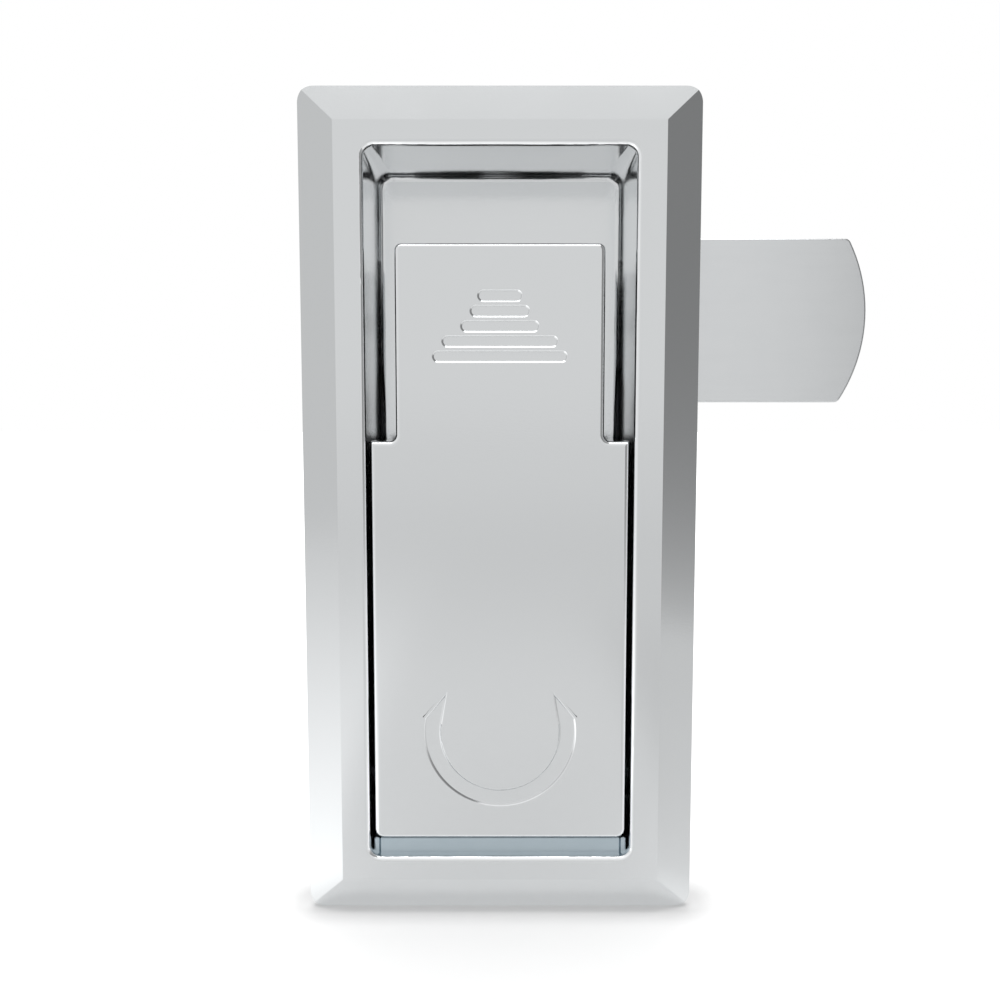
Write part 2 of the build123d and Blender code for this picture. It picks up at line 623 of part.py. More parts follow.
# Split spring washer
with BuildPart() as lock_washer:
    with BuildSketch(inward_plane(PAWL_BACK_Y + PAWL_WASHER_T)):
        with Locations(AXIS_POINT):
            Circle(LOCK_R)
            Circle(THREAD_R + THREAD_FIT, mode=Mode.SUBTRACT)
        with Locations(flat(0, SPINDLE_Z + LOCK_R)):
            Rectangle(LOCK_SLIT, LOCK_R, mode=Mode.SUBTRACT)
    extrude(amount=LOCK_T)
lock_washer.part.label = "lock_washer"
export_step(lock_washer.part, "parts/lock_washer.step")


# Nut, its corners taken off by a cone at both ends
with BuildPart() as pawl_nut:
    with BuildSketch(inward_plane(NUT_Y)):
        with Locations(AXIS_POINT):
            RegularPolygon(NUT_AF / 2, 6, major_radius=False)
    extrude(amount=NUT_H)
    with BuildSketch(side_plane(0)):
        with BuildLine():
            Polyline((NUT_Y, SPINDLE_Z), (NUT_Y, SPINDLE_Z + NUT_AF / 2), (NUT_Y + NUT_CHAMFER, SPINDLE_Z + NUT_CORNER_R),
                     (NUT_Y + NUT_H - NUT_CHAMFER, SPINDLE_Z + NUT_CORNER_R), (NUT_Y + NUT_H, SPINDLE_Z + NUT_AF / 2),
                     (NUT_Y + NUT_H, SPINDLE_Z), close=True)
        make_face()
    revolve(axis=Axis((0, 0, SPINDLE_Z), (0, 1, 0)), mode=Mode.INTERSECT)
    with BuildSketch(inward_plane(NUT_Y)):
        with Locations(AXIS_POINT):
            Circle(THREAD_R + THREAD_FIT)
    extrude(amount=NUT_H, mode=Mode.SUBTRACT)
pawl_nut.part.label = "pawl_nut"
export_step(pawl_nut.part, "parts/pawl_nut.step")


# Conical spring around the barrel, wide end on the pan
SPRING_START_Y = PAN_BACK_Y + SPRING_WIRE / 2 + SPRING_SEAT
SPRING_HEIGHT = SHOULDER_Y - SPRING_WIRE / 2 - SPRING_SEAT - SPRING_START_Y
SPRING_CONE = degrees(atan((SPRING_R_SMALL - SPRING_R_BIG) / SPRING_HEIGHT))
with BuildPart() as return_spring:
    with BuildLine() as coil:
        Helix(SPRING_HEIGHT / SPRING_TURNS, SPRING_HEIGHT, SPRING_R_BIG,
              center=(0, SPRING_START_Y, SPINDLE_Z), direction=(0, 1, 0), cone_angle=SPRING_CONE)
    with BuildSketch(Plane(origin=coil.line @ 0, z_dir=coil.line % 0)):
        Circle(SPRING_WIRE / 2)
    sweep(path=coil.line)
return_spring.part.label = "return_spring"
export_step(return_spring.part, "parts/return_spring.step")


# Handle: flush lever, narrow over the spindle, wide below, hollow behind
NARROW_X = NARROW_W / 2
WIDE_X = WIDE_W / 2
EAR_OUT_X = NARROW_X - EAR_SET_IN
EAR_IN_X = EAR_OUT_X - EAR_T
HANDLE_BACK_Y = FRONT_Y + HANDLE_DEPTH
with BuildPart() as handle:
    with BuildSketch(front_plane(FRONT_Y)) as face:
        with BuildLine():
            Polyline((-NARROW_X, HANDLE_TOP_Z), (NARROW_X, HANDLE_TOP_Z), (NARROW_X, SHOULDER_Z),
                     (WIDE_X, SHOULDER_Z), (WIDE_X, HANDLE_BOTTOM_Z), (-WIDE_X, HANDLE_BOTTOM_Z),
                     (-WIDE_X, SHOULDER_Z), (-NARROW_X, SHOULDER_Z), close=True)
        make_face()
        fillet(face.vertices().group_by(Axis.Y)[-1], HANDLE_TOP_R)
        middle = face.vertices().filter_by_position(Axis.Y, SHOULDER_Z - PLANE_TOL, SHOULDER_Z + PLANE_TOL)
        left_out, left_in, right_in, right_out = middle.sort_by(Axis.X)
        fillet([left_in, right_in], SHOULDER_IN_R)
        fillet([left_out, right_out], SHOULDER_OUT_R)
        fillet(face.vertices().group_by(Axis.Y)[0], HANDLE_FOOT_R)
    extrude(amount=-HANDLE_DEPTH)
    fillet(handle.edges().group_by(Axis.Y)[0], HANDLE_EDGE_R)
    # Hub hollow between the ears, open at the top, and two hollows below
    with BuildSketch(front_plane(HANDLE_BACK_Y)):
        with Locations((0, (HUB_RIB_Z + HANDLE_TOP_Z + SHAFT_R) / 2)):
            Rectangle(2 * EAR_IN_X, HANDLE_TOP_Z + SHAFT_R - HUB_RIB_Z)
    extrude(amount=HANDLE_DEPTH - HUB_SKIN, mode=Mode.SUBTRACT)
    with BuildSketch(front_plane(HANDLE_BACK_Y)):
        with BuildLine():
            Polyline((-HOLLOW_NARROW_X, HUB_RIB_Z - RIB_T), (HOLLOW_NARROW_X, HUB_RIB_Z - RIB_T),
                     (HOLLOW_NARROW_X, HOLLOW_STEP_Z), (HOLLOW_WIDE_X, HOLLOW_STEP_Z),
                     (HOLLOW_WIDE_X, MID_RIB_Z + RIB_T / 2), (-HOLLOW_WIDE_X, MID_RIB_Z + RIB_T / 2),
                     (-HOLLOW_WIDE_X, HOLLOW_STEP_Z), (-HOLLOW_NARROW_X, HOLLOW_STEP_Z), close=True)
        make_face()
        with BuildLine():
            Polyline((-HOLLOW_WIDE_X, MID_RIB_Z - RIB_T / 2), (HOLLOW_WIDE_X, MID_RIB_Z - RIB_T / 2),
                     (HOLLOW_WIDE_X, HANDLE_BOTTOM_Z + LOW_PAD_H), (-HOLLOW_WIDE_X, HANDLE_BOTTOM_Z + LOW_PAD_H),
                     close=True)
        make_face()
    extrude(amount=HANDLE_DEPTH - HANDLE_SKIN, mode=Mode.SUBTRACT)
    hollow_y = FRONT_Y + HANDLE_SKIN
    hollow_edges = handle.edges().filter_by_position(Axis.Y, hollow_y - PLANE_TOL, hollow_y + PLANE_TOL)
    fillet(hollow_edges, HOLLOW_FLOOR_R)
    # Ears: flat when folded, then the involute of a circle, so that every
    # degree of lift moves the spindle by the same amount
    with BuildSketch(side_plane(EAR_IN_X)):
        with BuildLine():
            Polyline((PIN_Y + CAM_SLOPE, HANDLE_TOP_Z), (FRONT_Y + HUB_SKIN / 2, HANDLE_TOP_Z),
                     (FRONT_Y + HUB_SKIN / 2, EAR_FOOT_Z), (HANDLE_BACK_Y, EAR_FOOT_Z),
                     (PIN_Y + CAM_REACH, SPINDLE_Z - CAM_SLOPE - CAM_FLAT),
                     (PIN_Y + CAM_REACH, SPINDLE_Z - CAM_SLOPE))
            Spline([cam_point(LIFT_DEG * step / CAM_STEPS) for step in range(CAM_STEPS + 1)],
                   tangents=[(0, 1), (-1, 0)])
        make_face()
    extrude(amount=EAR_T)
    mirror(about=Plane.YZ)
    with BuildSketch(side_plane(0)):
        with Locations((PIN_Y, SPINDLE_Z)):
            Circle(PIN_R + PRESS_FIT)
    extrude(amount=WIDE_W, both=True, mode=Mode.SUBTRACT)
    # Grip bars, each wider than the one above
    with BuildSketch(inward_plane(FRONT_Y)):
        for row, width in enumerate(BAR_WIDTHS):
            with Locations(flat(0, BAR_TOP_Z - row * BAR_PITCH)):
                SlotOverall(width, BAR_H)
    extrude(amount=BAR_DEEP, taper=MARK_TAPER, mode=Mode.SUBTRACT)
    # Turn arrow: an open ring with a head at each end
    with BuildSketch(inward_plane(FRONT_Y)):
        with BuildLine():
            out = CenterArc(flat(0, ARROW_Z), ARROW_R_OUT, -ARROW_OUT_DEG, 180 + 2 * ARROW_OUT_DEG)
            inner = CenterArc(flat(0, ARROW_Z), ARROW_R_IN, -ARROW_IN_DEG, 180 + 2 * ARROW_IN_DEG)
            Polyline(out @ 0, flat(ARROW_TIP[0], ARROW_Z + ARROW_TIP[1]),
                     flat(ARROW_BARB[0], ARROW_Z + ARROW_BARB[1]), inner @ 0)
            Polyline(out @ 1, flat(-ARROW_TIP[0], ARROW_Z + ARROW_TIP[1]),
                     flat(-ARROW_BARB[0], ARROW_Z + ARROW_BARB[1]), inner @ 1)
        make_face()
    extrude(amount=ARROW_DEEP, mode=Mode.SUBTRACT)
    arrow_y = FRONT_Y + ARROW_DEEP
    arrow_floor = handle.faces().filter_by(Axis.Y).filter_by_position(
        Axis.Y, arrow_y - PLANE_TOL, arrow_y + PLANE_TOL).sort_by(Axis.Z)[0]
    arrow_walls = [wall for edge in arrow_floor.edges() for wall in handle.faces()
                   if edge in wall.edges() and wall != arrow_floor]
    arrow_rim = ShapeList([edge for wall in arrow_walls for edge in wall.edges()
                           if abs(edge.center().Y - FRONT_Y) < PLANE_TOL])
    chamfer(arrow_rim, ARROW_EDGE)
    with BuildSketch(inward_plane(FRONT_Y)):
        with Locations(out @ 0, out @ 1, inner @ 0, inner @ 1):
            Circle(ARROW_PIT_R)
    extrude(amount=ARROW_PIT_DEEP, mode=Mode.SUBTRACT)
handle.part.label = "handle"
export_step(handle.part, "parts/handle.step")


# Pin through the ears and the tang
with BuildPart() as cross_pin:
    with BuildSketch(side_plane(0)):
        with Locations((PIN_Y, SPINDLE_Z)):
            Circle(PIN_R)
    extrude(amount=EAR_OUT_X - PIN_SET_IN, both=True)
    chamfer(cross_pin.edges().filter_by(GeomType.CIRCLE), PIN_SET_IN)
cross_pin.part.label = "cross_pin"
export_step(cross_pin.part, "parts/cross_pin.step")


# Tubes that centre the tang between the ears
with BuildPart() as pin_spacers:
    with BuildSketch(side_plane(TANG_W / 2 + SPACER_GAP)):
        with Locations((PIN_Y, SPINDLE_Z)):
            Circle(SPACER_R)
            Circle(PIN_R + PRESS_FIT, mode=Mode.SUBTRACT)
    extrude(amount=EAR_IN_X - TANG_W / 2 - SPACER_GAP)
    mirror(about=Plane.YZ)
pin_spacers.part.label = "pin_spacers"
export_step(pin_spacers.part, "parts/pin_spacers.step")
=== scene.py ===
"""Looks of a flush lift-and-turn compression latch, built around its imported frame.

The frame is in metres: X right, Z up, Y into the panel, with its origin at the
centre of the panel's cut-out. Castings are chromed, the parts behind the panel
are zinc plated, turned or moulded. Each class below is one sub-assembly or one
finish of the latch.
"""

import json
import logging
import math
from dataclasses import dataclass, field
from enum import Enum
from typing import Iterable, Optional, Sequence, Union

import bmesh
import bpy
import numpy as np
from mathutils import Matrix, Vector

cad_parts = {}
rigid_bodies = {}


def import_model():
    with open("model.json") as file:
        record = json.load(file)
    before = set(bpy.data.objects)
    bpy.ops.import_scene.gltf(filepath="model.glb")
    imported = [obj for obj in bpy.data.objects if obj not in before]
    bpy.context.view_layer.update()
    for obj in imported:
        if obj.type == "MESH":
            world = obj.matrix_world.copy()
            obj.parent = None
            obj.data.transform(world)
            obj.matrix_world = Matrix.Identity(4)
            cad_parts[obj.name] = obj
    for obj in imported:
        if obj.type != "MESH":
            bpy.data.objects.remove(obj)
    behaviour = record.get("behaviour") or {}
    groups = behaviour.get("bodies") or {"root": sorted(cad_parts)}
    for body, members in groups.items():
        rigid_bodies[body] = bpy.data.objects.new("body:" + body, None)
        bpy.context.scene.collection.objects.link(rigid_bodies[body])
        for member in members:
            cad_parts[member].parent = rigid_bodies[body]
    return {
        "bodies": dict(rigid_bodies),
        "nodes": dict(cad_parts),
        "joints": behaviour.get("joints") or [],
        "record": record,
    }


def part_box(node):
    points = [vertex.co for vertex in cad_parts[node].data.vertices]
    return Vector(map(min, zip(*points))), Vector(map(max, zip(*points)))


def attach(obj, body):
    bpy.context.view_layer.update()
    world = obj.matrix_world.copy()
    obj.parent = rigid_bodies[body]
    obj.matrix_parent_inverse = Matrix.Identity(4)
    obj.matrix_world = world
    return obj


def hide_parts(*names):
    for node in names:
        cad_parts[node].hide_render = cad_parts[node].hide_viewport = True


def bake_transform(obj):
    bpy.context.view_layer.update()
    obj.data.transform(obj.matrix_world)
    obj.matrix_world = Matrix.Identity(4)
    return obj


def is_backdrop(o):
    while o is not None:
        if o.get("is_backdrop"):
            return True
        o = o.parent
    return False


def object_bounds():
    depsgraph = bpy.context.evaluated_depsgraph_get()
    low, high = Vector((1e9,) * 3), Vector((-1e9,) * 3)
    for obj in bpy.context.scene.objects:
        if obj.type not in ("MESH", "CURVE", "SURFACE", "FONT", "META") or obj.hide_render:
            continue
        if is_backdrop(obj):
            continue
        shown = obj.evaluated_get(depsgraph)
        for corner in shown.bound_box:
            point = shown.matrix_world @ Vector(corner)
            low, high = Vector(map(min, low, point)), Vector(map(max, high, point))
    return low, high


LOG = logging.getLogger("latch")
MM = 0.001
MERGE = 1e-7
TURN = 2 * math.pi
Feed = Union["Value", float, Sequence[float]]


class Body(Enum):
    """Bodies of the latch that move against each other."""

    HOUSING = "housing"
    SPINDLE = "spindle"
    HANDLE = "handle"


class Slot(Enum):
    """Finishes of the latch, by the names that its record gives them."""

    CHROME = "chrome_casting"
    RUBBER = "black_rubber"
    HARD_STEEL = "hard_steel"
    PLATED_STEEL = "plated_steel"
    PLATED_SHEET = "plated_sheet"
    PAWL_STEEL = "pawl_steel"
    TURNED_STEEL = "turned_steel"
    SPRING_STEEL = "spring_steel"
    BRONZE = "bronze"


class Value:
    """An output of a shader node; arithmetic on it adds Math nodes."""

    def __init__(self, graph: "Graph", socket: bpy.types.NodeSocket) -> None:
        """Keeps the node's graph and the socket."""
        self.graph, self.socket = graph, socket

    def math(self, operation: str, *others: Feed) -> "Value":
        """Returns the result of one Math node on this value and the others."""
        return self.graph.value("ShaderNodeMath", dict(enumerate((self, *others))), operation=operation)

    def ramp(self, low: float, high: float, start: float = 0.0, end: float = 1.0,
             smooth: bool = False) -> "Value":
        """Maps this value from low and high to start and end, and clamps it.

        Args:
            low: value that gives start.
            high: value that gives end.
            start: result at low and beyond.
            end: result at high and beyond.
            smooth: eases both ends.

        Returns:
            The mapped value.
        """
        feeds = {"Value": self, "From Min": low, "From Max": high, "To Min": start, "To Max": end}
        kind = "SMOOTHSTEP" if smooth else "LINEAR"
        return self.graph.value("ShaderNodeMapRange", feeds, interpolation_type=kind)

    def fade(self, length: float) -> "Value":
        """Returns what is left of 1 when it falls to about a third over each length."""
        return (self / -length).math("EXPONENT")

    def __add__(self, other: Feed) -> "Value":
        """Adds."""
        return self.math("ADD", other)

    def __sub__(self, other: Feed) -> "Value":
        """Subtracts."""
        return self.math("SUBTRACT", other)

    def __rsub__(self, other: float) -> "Value":
        """Subtracts from a number."""
        return self.math("MULTIPLY_ADD", -1.0, other)

    def __mul__(self, other: Feed) -> "Value":
        """Multiplies."""
        return self.math("MULTIPLY", other)

    def __truediv__(self, other: Feed) -> "Value":
        """Divides."""
        return self.math("DIVIDE", other)

    def __gt__(self, other: Feed) -> "Value":
        """Returns 1 where it is greater."""
        return self.math("GREATER_THAN", other)

    def __lt__(self, other: Feed) -> "Value":
        """Returns 1 where it is less."""
        return self.math("LESS_THAN", other)

    def __abs__(self) -> "Value":
        """Returns it without its sign."""
        return self.math("ABSOLUTE")


class Graph:
    """Adds nodes to one shader node tree and joins them."""

    def __init__(self, tree: bpy.types.NodeTree) -> None:
        """Keeps the tree that the nodes go into."""
        self.tree = tree

    def feed(self, node: bpy.types.Node, feeds: dict) -> None:
        """Links a node's inputs, by name or place, or sets their own values.

        Args:
            node: the node.
            feeds: values by the input's name or place.
        """
        for key, value in feeds.items():
            if isinstance(value, Value):
                self.tree.links.new(value.socket, node.inputs[key])
            else:
                node.inputs[key].default_value = value

    def add(self, kind: str, feeds: Optional[dict] = None, **settings: object) -> bpy.types.Node:
        """Adds one node.

        Args:
            kind: the node's type name.
            feeds: values by the input's name or place.
            settings: the node's own properties.

        Returns:
            The new node.
        """
        node = self.tree.nodes.new(kind)
        for key, value in settings.items():
            setattr(node, key, value)
        self.feed(node, feeds or {})
        return node

    def value(self, kind: str, feeds: Optional[dict] = None, output: Union[int, str] = 0,
              **settings: object) -> Value:
        """Adds one node as add does, and returns one of its outputs."""
        return Value(self, self.add(kind, feeds, **settings).outputs[output])

    def place(self) -> Value:
        """Returns the point on the object, in its own coordinates."""
        return self.value("ShaderNodeTexCoord", output="Object")

    def parts(self) -> list[Value]:
        """Returns that point's X, Y and Z."""
        node = self.add("ShaderNodeSeparateXYZ", {0: self.place()})
        return [Value(self, socket) for socket in node.outputs]

    def noise(self, scale: Feed, detail: float, vector: Optional[Value] = None) -> Value:
        """Returns a noise value between 0 and 1 with so many cells a metre."""
        feeds = {"Vector": vector or self.place(), "Scale": scale, "Detail": detail}
        return self.value("ShaderNodeTexNoise", feeds, "Fac")

    def tint(self, mask: Feed, first: Feed, second: Feed) -> Value:
        """Returns the colour that a mask mixes from two."""
        return self.value("ShaderNodeMix", {0: mask, 6: first, 7: second}, 2, data_type="RGBA")


class Effect:
    """A shader node group that several finishes share, built once."""

    name = "effect"
    inputs: dict[str, float] = {}
    outputs: tuple[str, ...] = ()

    def fill(self, graph: Graph, given: dict[str, Value]) -> dict[str, Value]:
        """Builds the nodes inside the group and returns its results by name."""
        raise NotImplementedError

    def tree(self) -> bpy.types.NodeTree:
        """Makes the group's tree on first use.

        Returns:
            The tree.
        """
        made = bpy.data.node_groups.get(self.name)
        if made is not None:
            return made
        made = bpy.data.node_groups.new(self.name, "ShaderNodeTree")
        for label, value in self.inputs.items():
            socket = made.interface.new_socket(label, in_out="INPUT", socket_type="NodeSocketFloat")
            socket.default_value = value
        for label in self.outputs:
            made.interface.new_socket(label, in_out="OUTPUT", socket_type="NodeSocketFloat")
        graph = Graph(made)
        sockets = graph.add("NodeGroupInput").outputs
        given = {label: Value(graph, sockets[label]) for label in self.inputs}
        graph.add("NodeGroupOutput", self.fill(graph, given))
        return made

    def use(self, graph: Graph, **values: Feed) -> dict[str, Value]:
        """Places the group in a material.

        Args:
            graph: the material's graph.
            values: inputs by name, with _ for a space.

        Returns:
            The group's outputs by name.
        """
        feeds = {key.replace("_", " "): value for key, value in values.items()}
        node = graph.add("ShaderNodeGroup", feeds, node_tree=self.tree())
        return {label: Value(graph, node.outputs[label]) for label in self.outputs}


class SkinGrain(Effect):
    """Fine even grain of a plated or moulded skin, with slow mottling under it."""

    name = "skin_grain"
    inputs = {"Cells": 6000.0, "Patches": 90.0}
    outputs = ("Height", "Mottle")

    def fill(self, graph: Graph, given: dict[str, Value]) -> dict[str, Value]:
        """Height is fine noise; Mottle is broad noise with its contrast raised."""
        mottle = graph.noise(given["Patches"], 4.0).ramp(0.35, 0.65)
        return {"Height": graph.noise(given["Cells"], 3.0), "Mottle": mottle}


class Hairlines(Effect):
    """Long fine lines that rolling, brushing or handling leave along one axis."""

    name = "hairlines"
    inputs = {"Along X": 1.0, "Along Y": 1.0, "Along Z": 1.0, "Cells": 3000.0, "Share": 0.5}
    outputs = ("Height", "Lines")

    def fill(self, graph: Graph, given: dict[str, Value]) -> dict[str, Value]:
        """Noise on coordinates that are squeezed along the axis with the small factor.

        Args:
            graph: graph of the group's tree.
            given: its inputs by name.

        Returns:
            Its results by name.
        """
        squeezed = [part * given[label] for part, label in zip(graph.parts(), self.inputs)]
        vector = graph.value("ShaderNodeCombineXYZ", dict(enumerate(squeezed)))
        height = graph.noise(given["Cells"], 4.0, vector)
        return {"Height": height, "Lines": (height - (1.0 - given["Share"])).ramp(0.0, 0.12)}


class EdgeWear(Effect):
    """Mask of outer and inner edges, broken up where handling has rubbed them."""

    name = "edge_wear"
    inputs = {"Radius": 0.0003, "Cells": 700.0}
    outputs = ("Edge",)

    def fill(self, graph: Graph, given: dict[str, Value]) -> dict[str, Value]:
        """One minus the cosine between the rounded and the true normal, times noise.

        Args:
            graph: graph of the group's tree.
            given: its inputs by name.

        Returns:
            Its results by name.
        """
        rounded = graph.value("ShaderNodeBevel", {"Radius": given["Radius"]}, samples=4)
        true = graph.value("ShaderNodeNewGeometry", output="Normal")
        cosine = graph.value("ShaderNodeVectorMath", {0: rounded, 1: true}, "Value",
                             operation="DOT_PRODUCT")
        broken = graph.noise(given["Cells"], 3.0).ramp(0.3, 0.62)
        return {"Edge": (1.0 - cosine).ramp(0.01, 0.16) * broken}


class TurningRings(Effect):
    """Feed marks that a lathe leaves around an axis along Y."""

    name = "turning_rings"
    inputs = {"Axis Z": 0.0, "Feed": 0.00016}
    outputs = ("Height",)

    def fill(self, graph: Graph, given: dict[str, Value]) -> dict[str, Value]:
        """Sine of the distance along and across the axis, counted in feeds.

        Args:
            graph: graph of the group's tree.
            given: its inputs by name.

        Returns:
            Its results by name.
        """
        x, y, z = graph.parts()
        across = z - given["Axis Z"]
        radius = (x * x + across * across).math("SQRT")
        return {"Height": ((radius + y) / given["Feed"] * TURN).math("SINE").ramp(-1.0, 1.0)}


GRAIN, LINES, EDGES, RINGS = SkinGrain(), Hairlines(), EdgeWear(), TurningRings()


@dataclass(frozen=True)
class Finish:
    """A finish of the latch; each one fills in its own shader.

    Fields:
        name: the material's name.
        metallic: 1 for a metal, 0 for rubber.
        bump: height of its surface texture, in metres.
    """

    name: str = "finish"
    metallic: float = 1.0
    bump: float = 0.0

    def shade(self, graph: Graph) -> dict[str, Feed]:
        """Returns the shader's varying inputs by name, and the surface's Height."""
        raise NotImplementedError

    def build(self) -> bpy.types.Material:
        """Makes the material, with its Principled shader fed by the finish.

        Returns:
            The material.
        """
        material = bpy.data.materials.new(self.name)
        material.use_nodes = True
        graph = Graph(material.node_tree)
        varying = self.shade(graph)
        bump = {"Height": varying.pop("Height"), "Distance": self.bump}
        varying["Normal"] = graph.value("ShaderNodeBump", bump)
        graph.feed(material.node_tree.nodes["Principled BSDF"], {"Metallic": self.metallic, **varying})
        return material


@dataclass(frozen=True)
class ChromeCasting(Finish):
    """Chromium on a zinc die casting: bright in front, a plain cast skin behind.

    Fields:
        bright: colour of the polished plate.
        painted_wall_light: a brighter colour on the recess's inner walls, a painted reflection that
            stands in for light those deep walls don't get.
        painted_rim_highlight: near-white colour on the rounded front edges, a painted highlight.
        skin: colour of the plate on the unpolished back.
        polish: roughness of the polished front.
        uneven: how far that strays in patches.
        rubbed: roughness that fine handling lines add.
        worn: roughness that worn edges lose.
        cast: roughness of the unpolished back.
        lumps: height of its lumps, in grains.
        rim_from: depths between which the front rounding sets in behind the face.
        rim_to: depths between which it ends.
        rim_highlight_share: how much of that painted highlight it has.
    """

    name: str = "satin_chromium"
    bump: float = 2.5e-6
    bright: tuple = (0.617, 0.63, 0.637, 1.0)
    # Painted reflection: a far brighter colour for the recess's inner walls.
    painted_wall_light: tuple = (0.9, 0.915, 0.925, 1.0)
    # Painted highlight: near-white colour for the rounded front edges.
    painted_rim_highlight: tuple = (0.93, 0.945, 0.955, 1.0)
    skin: tuple = (0.5, 0.508, 0.512, 1.0)
    polish: float = 0.15
    uneven: float = 0.012
    rubbed: float = 0.02
    worn: float = 0.05
    cast: float = 0.4
    lumps: float = 9.0
    rim_from: tuple = (-3.69 * MM, -3.55 * MM)
    rim_to: tuple = (-3.1 * MM, -2.9 * MM)
    rim_highlight_share: float = 1.0

    def unpolished(self, x: Value, y: Value, z: Value) -> Value:
        """Returns the mask of the cast skin that polishing doesn't reach."""
        raise NotImplementedError

    def painted_wall_light_mask(self, x: Value, y: Value, z: Value) -> Feed:
        """Returns the mask of the walls that take the painted reflection."""
        return 0.0

    def rim(self, x: Value, y: Value, z: Value) -> Value:
        """Returns the mask of the front rounding, by depth, where the highlight is painted."""
        return y.ramp(*self.rim_from, 0.0, self.rim_highlight_share) * y.ramp(*self.rim_to, 1.0, 0.0)

    def shade(self, graph: Graph) -> dict[str, Feed]:
        """Blends front and back by place, paints a brighter reflection on the recess's walls and a
        highlight on the front roundings, brightens worn edges, and adds fine grain.

        Args:
            graph: the material's graph.

        Returns:
            The shader's inputs and the surface's Height.
        """
        here = graph.parts()
        behind = self.unpolished(*here)
        grain = GRAIN.use(graph, Cells=5200.0, Patches=60.0)
        rub = LINES.use(graph, Along_X=0.35, Along_Z=0.35, Cells=900.0, Share=0.36)["Lines"]
        edge = EDGES.use(graph, Radius=0.25 * MM, Cells=420.0)["Edge"]
        # Painted reflection: the recess's walls take the brighter colour.
        colour = graph.tint(self.painted_wall_light_mask(*here), self.bright, self.painted_wall_light)
        # Painted highlight: the front roundings take the near-white colour.
        colour = graph.tint(self.rim(*here), colour, self.painted_rim_highlight)
        colour = graph.tint(behind, colour, self.skin)
        rough = grain["Mottle"].ramp(0.0, 1.0, self.polish - self.uneven, self.polish + self.uneven)
        rough = rough + rub * self.rubbed - edge * self.worn + behind * (self.cast - self.polish)
        height = grain["Height"] + graph.noise(1400.0, 4.0) * behind * self.lumps
        return {"Base Color": colour, "Roughness": rough, "Height": height}


@dataclass(frozen=True)
class ChromePan(ChromeCasting):
    """Chrome of the housing: cast skin everywhere outside the pan behind the bezel.

    Fields:
        back: depth of the bezel's back.
        wall_x: middle of the pan's side walls, as half a width.
        wall_z: middle of its end walls, as half a height.
        wall_y: middle of its floor, as a depth.
        wall_from: depths between which the painted reflection on the inner walls sets in.
        wall_to: depths between which it ends, at the floor's rounding.
    """

    back: float = -0.05 * MM
    wall_x: float = 19.0 * MM
    wall_z: float = 49.3 * MM
    wall_y: float = 14.3 * MM
    wall_from: tuple = (-3.3 * MM, -2.6 * MM)
    wall_to: tuple = (12.7 * MM, 13.1 * MM)

    def unpolished(self, x: Value, y: Value, z: Value) -> Value:
        """Returns 1 behind the bezel's back and outside the middle of the pan's walls."""
        beside = (abs(x) > self.wall_x).math("MAXIMUM", abs(z) > self.wall_z)
        return beside.math("MAXIMUM", y > self.wall_y) * (y > self.back)

    def inner(self, x: Value, z: Value) -> Value:
        """Returns 1 inside the middle of the pan's walls, seen from the front."""
        return (abs(x) < self.wall_x) * (abs(z) < self.wall_z)

    def painted_wall_light_mask(self, x: Value, y: Value, z: Value) -> Value:
        """Returns 1 between the recess's mouth and its floor: the walls with the painted reflection."""
        return self.inner(x, z) * (y.ramp(*self.wall_from) * y.ramp(*self.wall_to, 1.0, 0.0))

    def rim(self, x: Value, y: Value, z: Value) -> Value:
        """Returns the front rounding's mask around the recess's mouth alone, where the highlight is
        painted.
        """
        return super().rim(x, y, z) * self.inner(x, z)


@dataclass(frozen=True)
class ChromeLever(ChromeCasting):
    """Chrome of the lever: cast skin only in the hollows of its back.

    Fields:
        floor_y: depth just in front of the hollows' floor.
        narrow_x: middle of the narrow part's side walls, as half a width.
        wide_x: middle of the wide part's side walls, as half a width.
        step: heights between which the widths change.
    """

    name: str = "satin_chromium_lever"
    floor_y: float = -1.1 * MM
    narrow_x: float = 12.8 * MM
    wide_x: float = 16.2 * MM
    step: tuple = (8.2 * MM, 8.3 * MM)

    def unpolished(self, x: Value, y: Value, z: Value) -> Value:
        """Returns 1 behind the face and between the middles of the side walls."""
        return (abs(x) < z.ramp(*self.step, self.wide_x, self.narrow_x)) * (y > self.floor_y)


@dataclass(frozen=True)
class PlatedSteel(Finish):
    """Zinc plate on steel: pale, a little mottled, brighter along its edges.

    Fields:
        pale: colour of the plate.
        warm: colour of its passivated patches.
        patchy: share of that in the patches.
        lighter: how much lighter a worn edge is.
        bared: share of that colour on it.
        rough: mean roughness.
        along: squeeze factors of its lines along X, Y and Z.
        line_depth: share of the lines in its roughness.
        worn: roughness that worn edges lose.
    """

    name: str = "zinc_plate"
    bump: float = 4e-6
    pale: tuple = (0.6, 0.615, 0.63, 1.0)
    warm: tuple = (0.56, 0.565, 0.545, 1.0)
    patchy: float = 0.75
    lighter: float = 1.12
    bared: float = 0.6
    rough: float = 0.33
    along: tuple = (1.0, 1.0, 1.0)
    line_depth: float = 0.08
    worn: float = 0.1

    def shade(self, graph: Graph) -> dict[str, Feed]:
        """Mixes two plate colours by broad mottling, with lines and worn edges.

        Args:
            graph: the material's graph.

        Returns:
            The shader's inputs and the surface's Height.
        """
        grain = GRAIN.use(graph, Cells=3800.0, Patches=260.0)
        squeeze = dict(zip(("Along_X", "Along_Y", "Along_Z"), self.along))
        lines = LINES.use(graph, **squeeze, Cells=2600.0, Share=0.5)
        edge = EDGES.use(graph, Radius=0.2 * MM, Cells=900.0)["Edge"]
        colour = graph.tint(grain["Mottle"] * self.patchy, self.pale, self.warm)
        lighter = tuple(min(part * self.lighter, 1.0) for part in self.pale)
        colour = graph.tint(edge * self.bared, colour, lighter)
        rough = lines["Lines"] * self.line_depth + self.rough - edge * self.worn
        return {"Base Color": colour, "Roughness": rough, "Height": grain["Height"] + lines["Height"]}


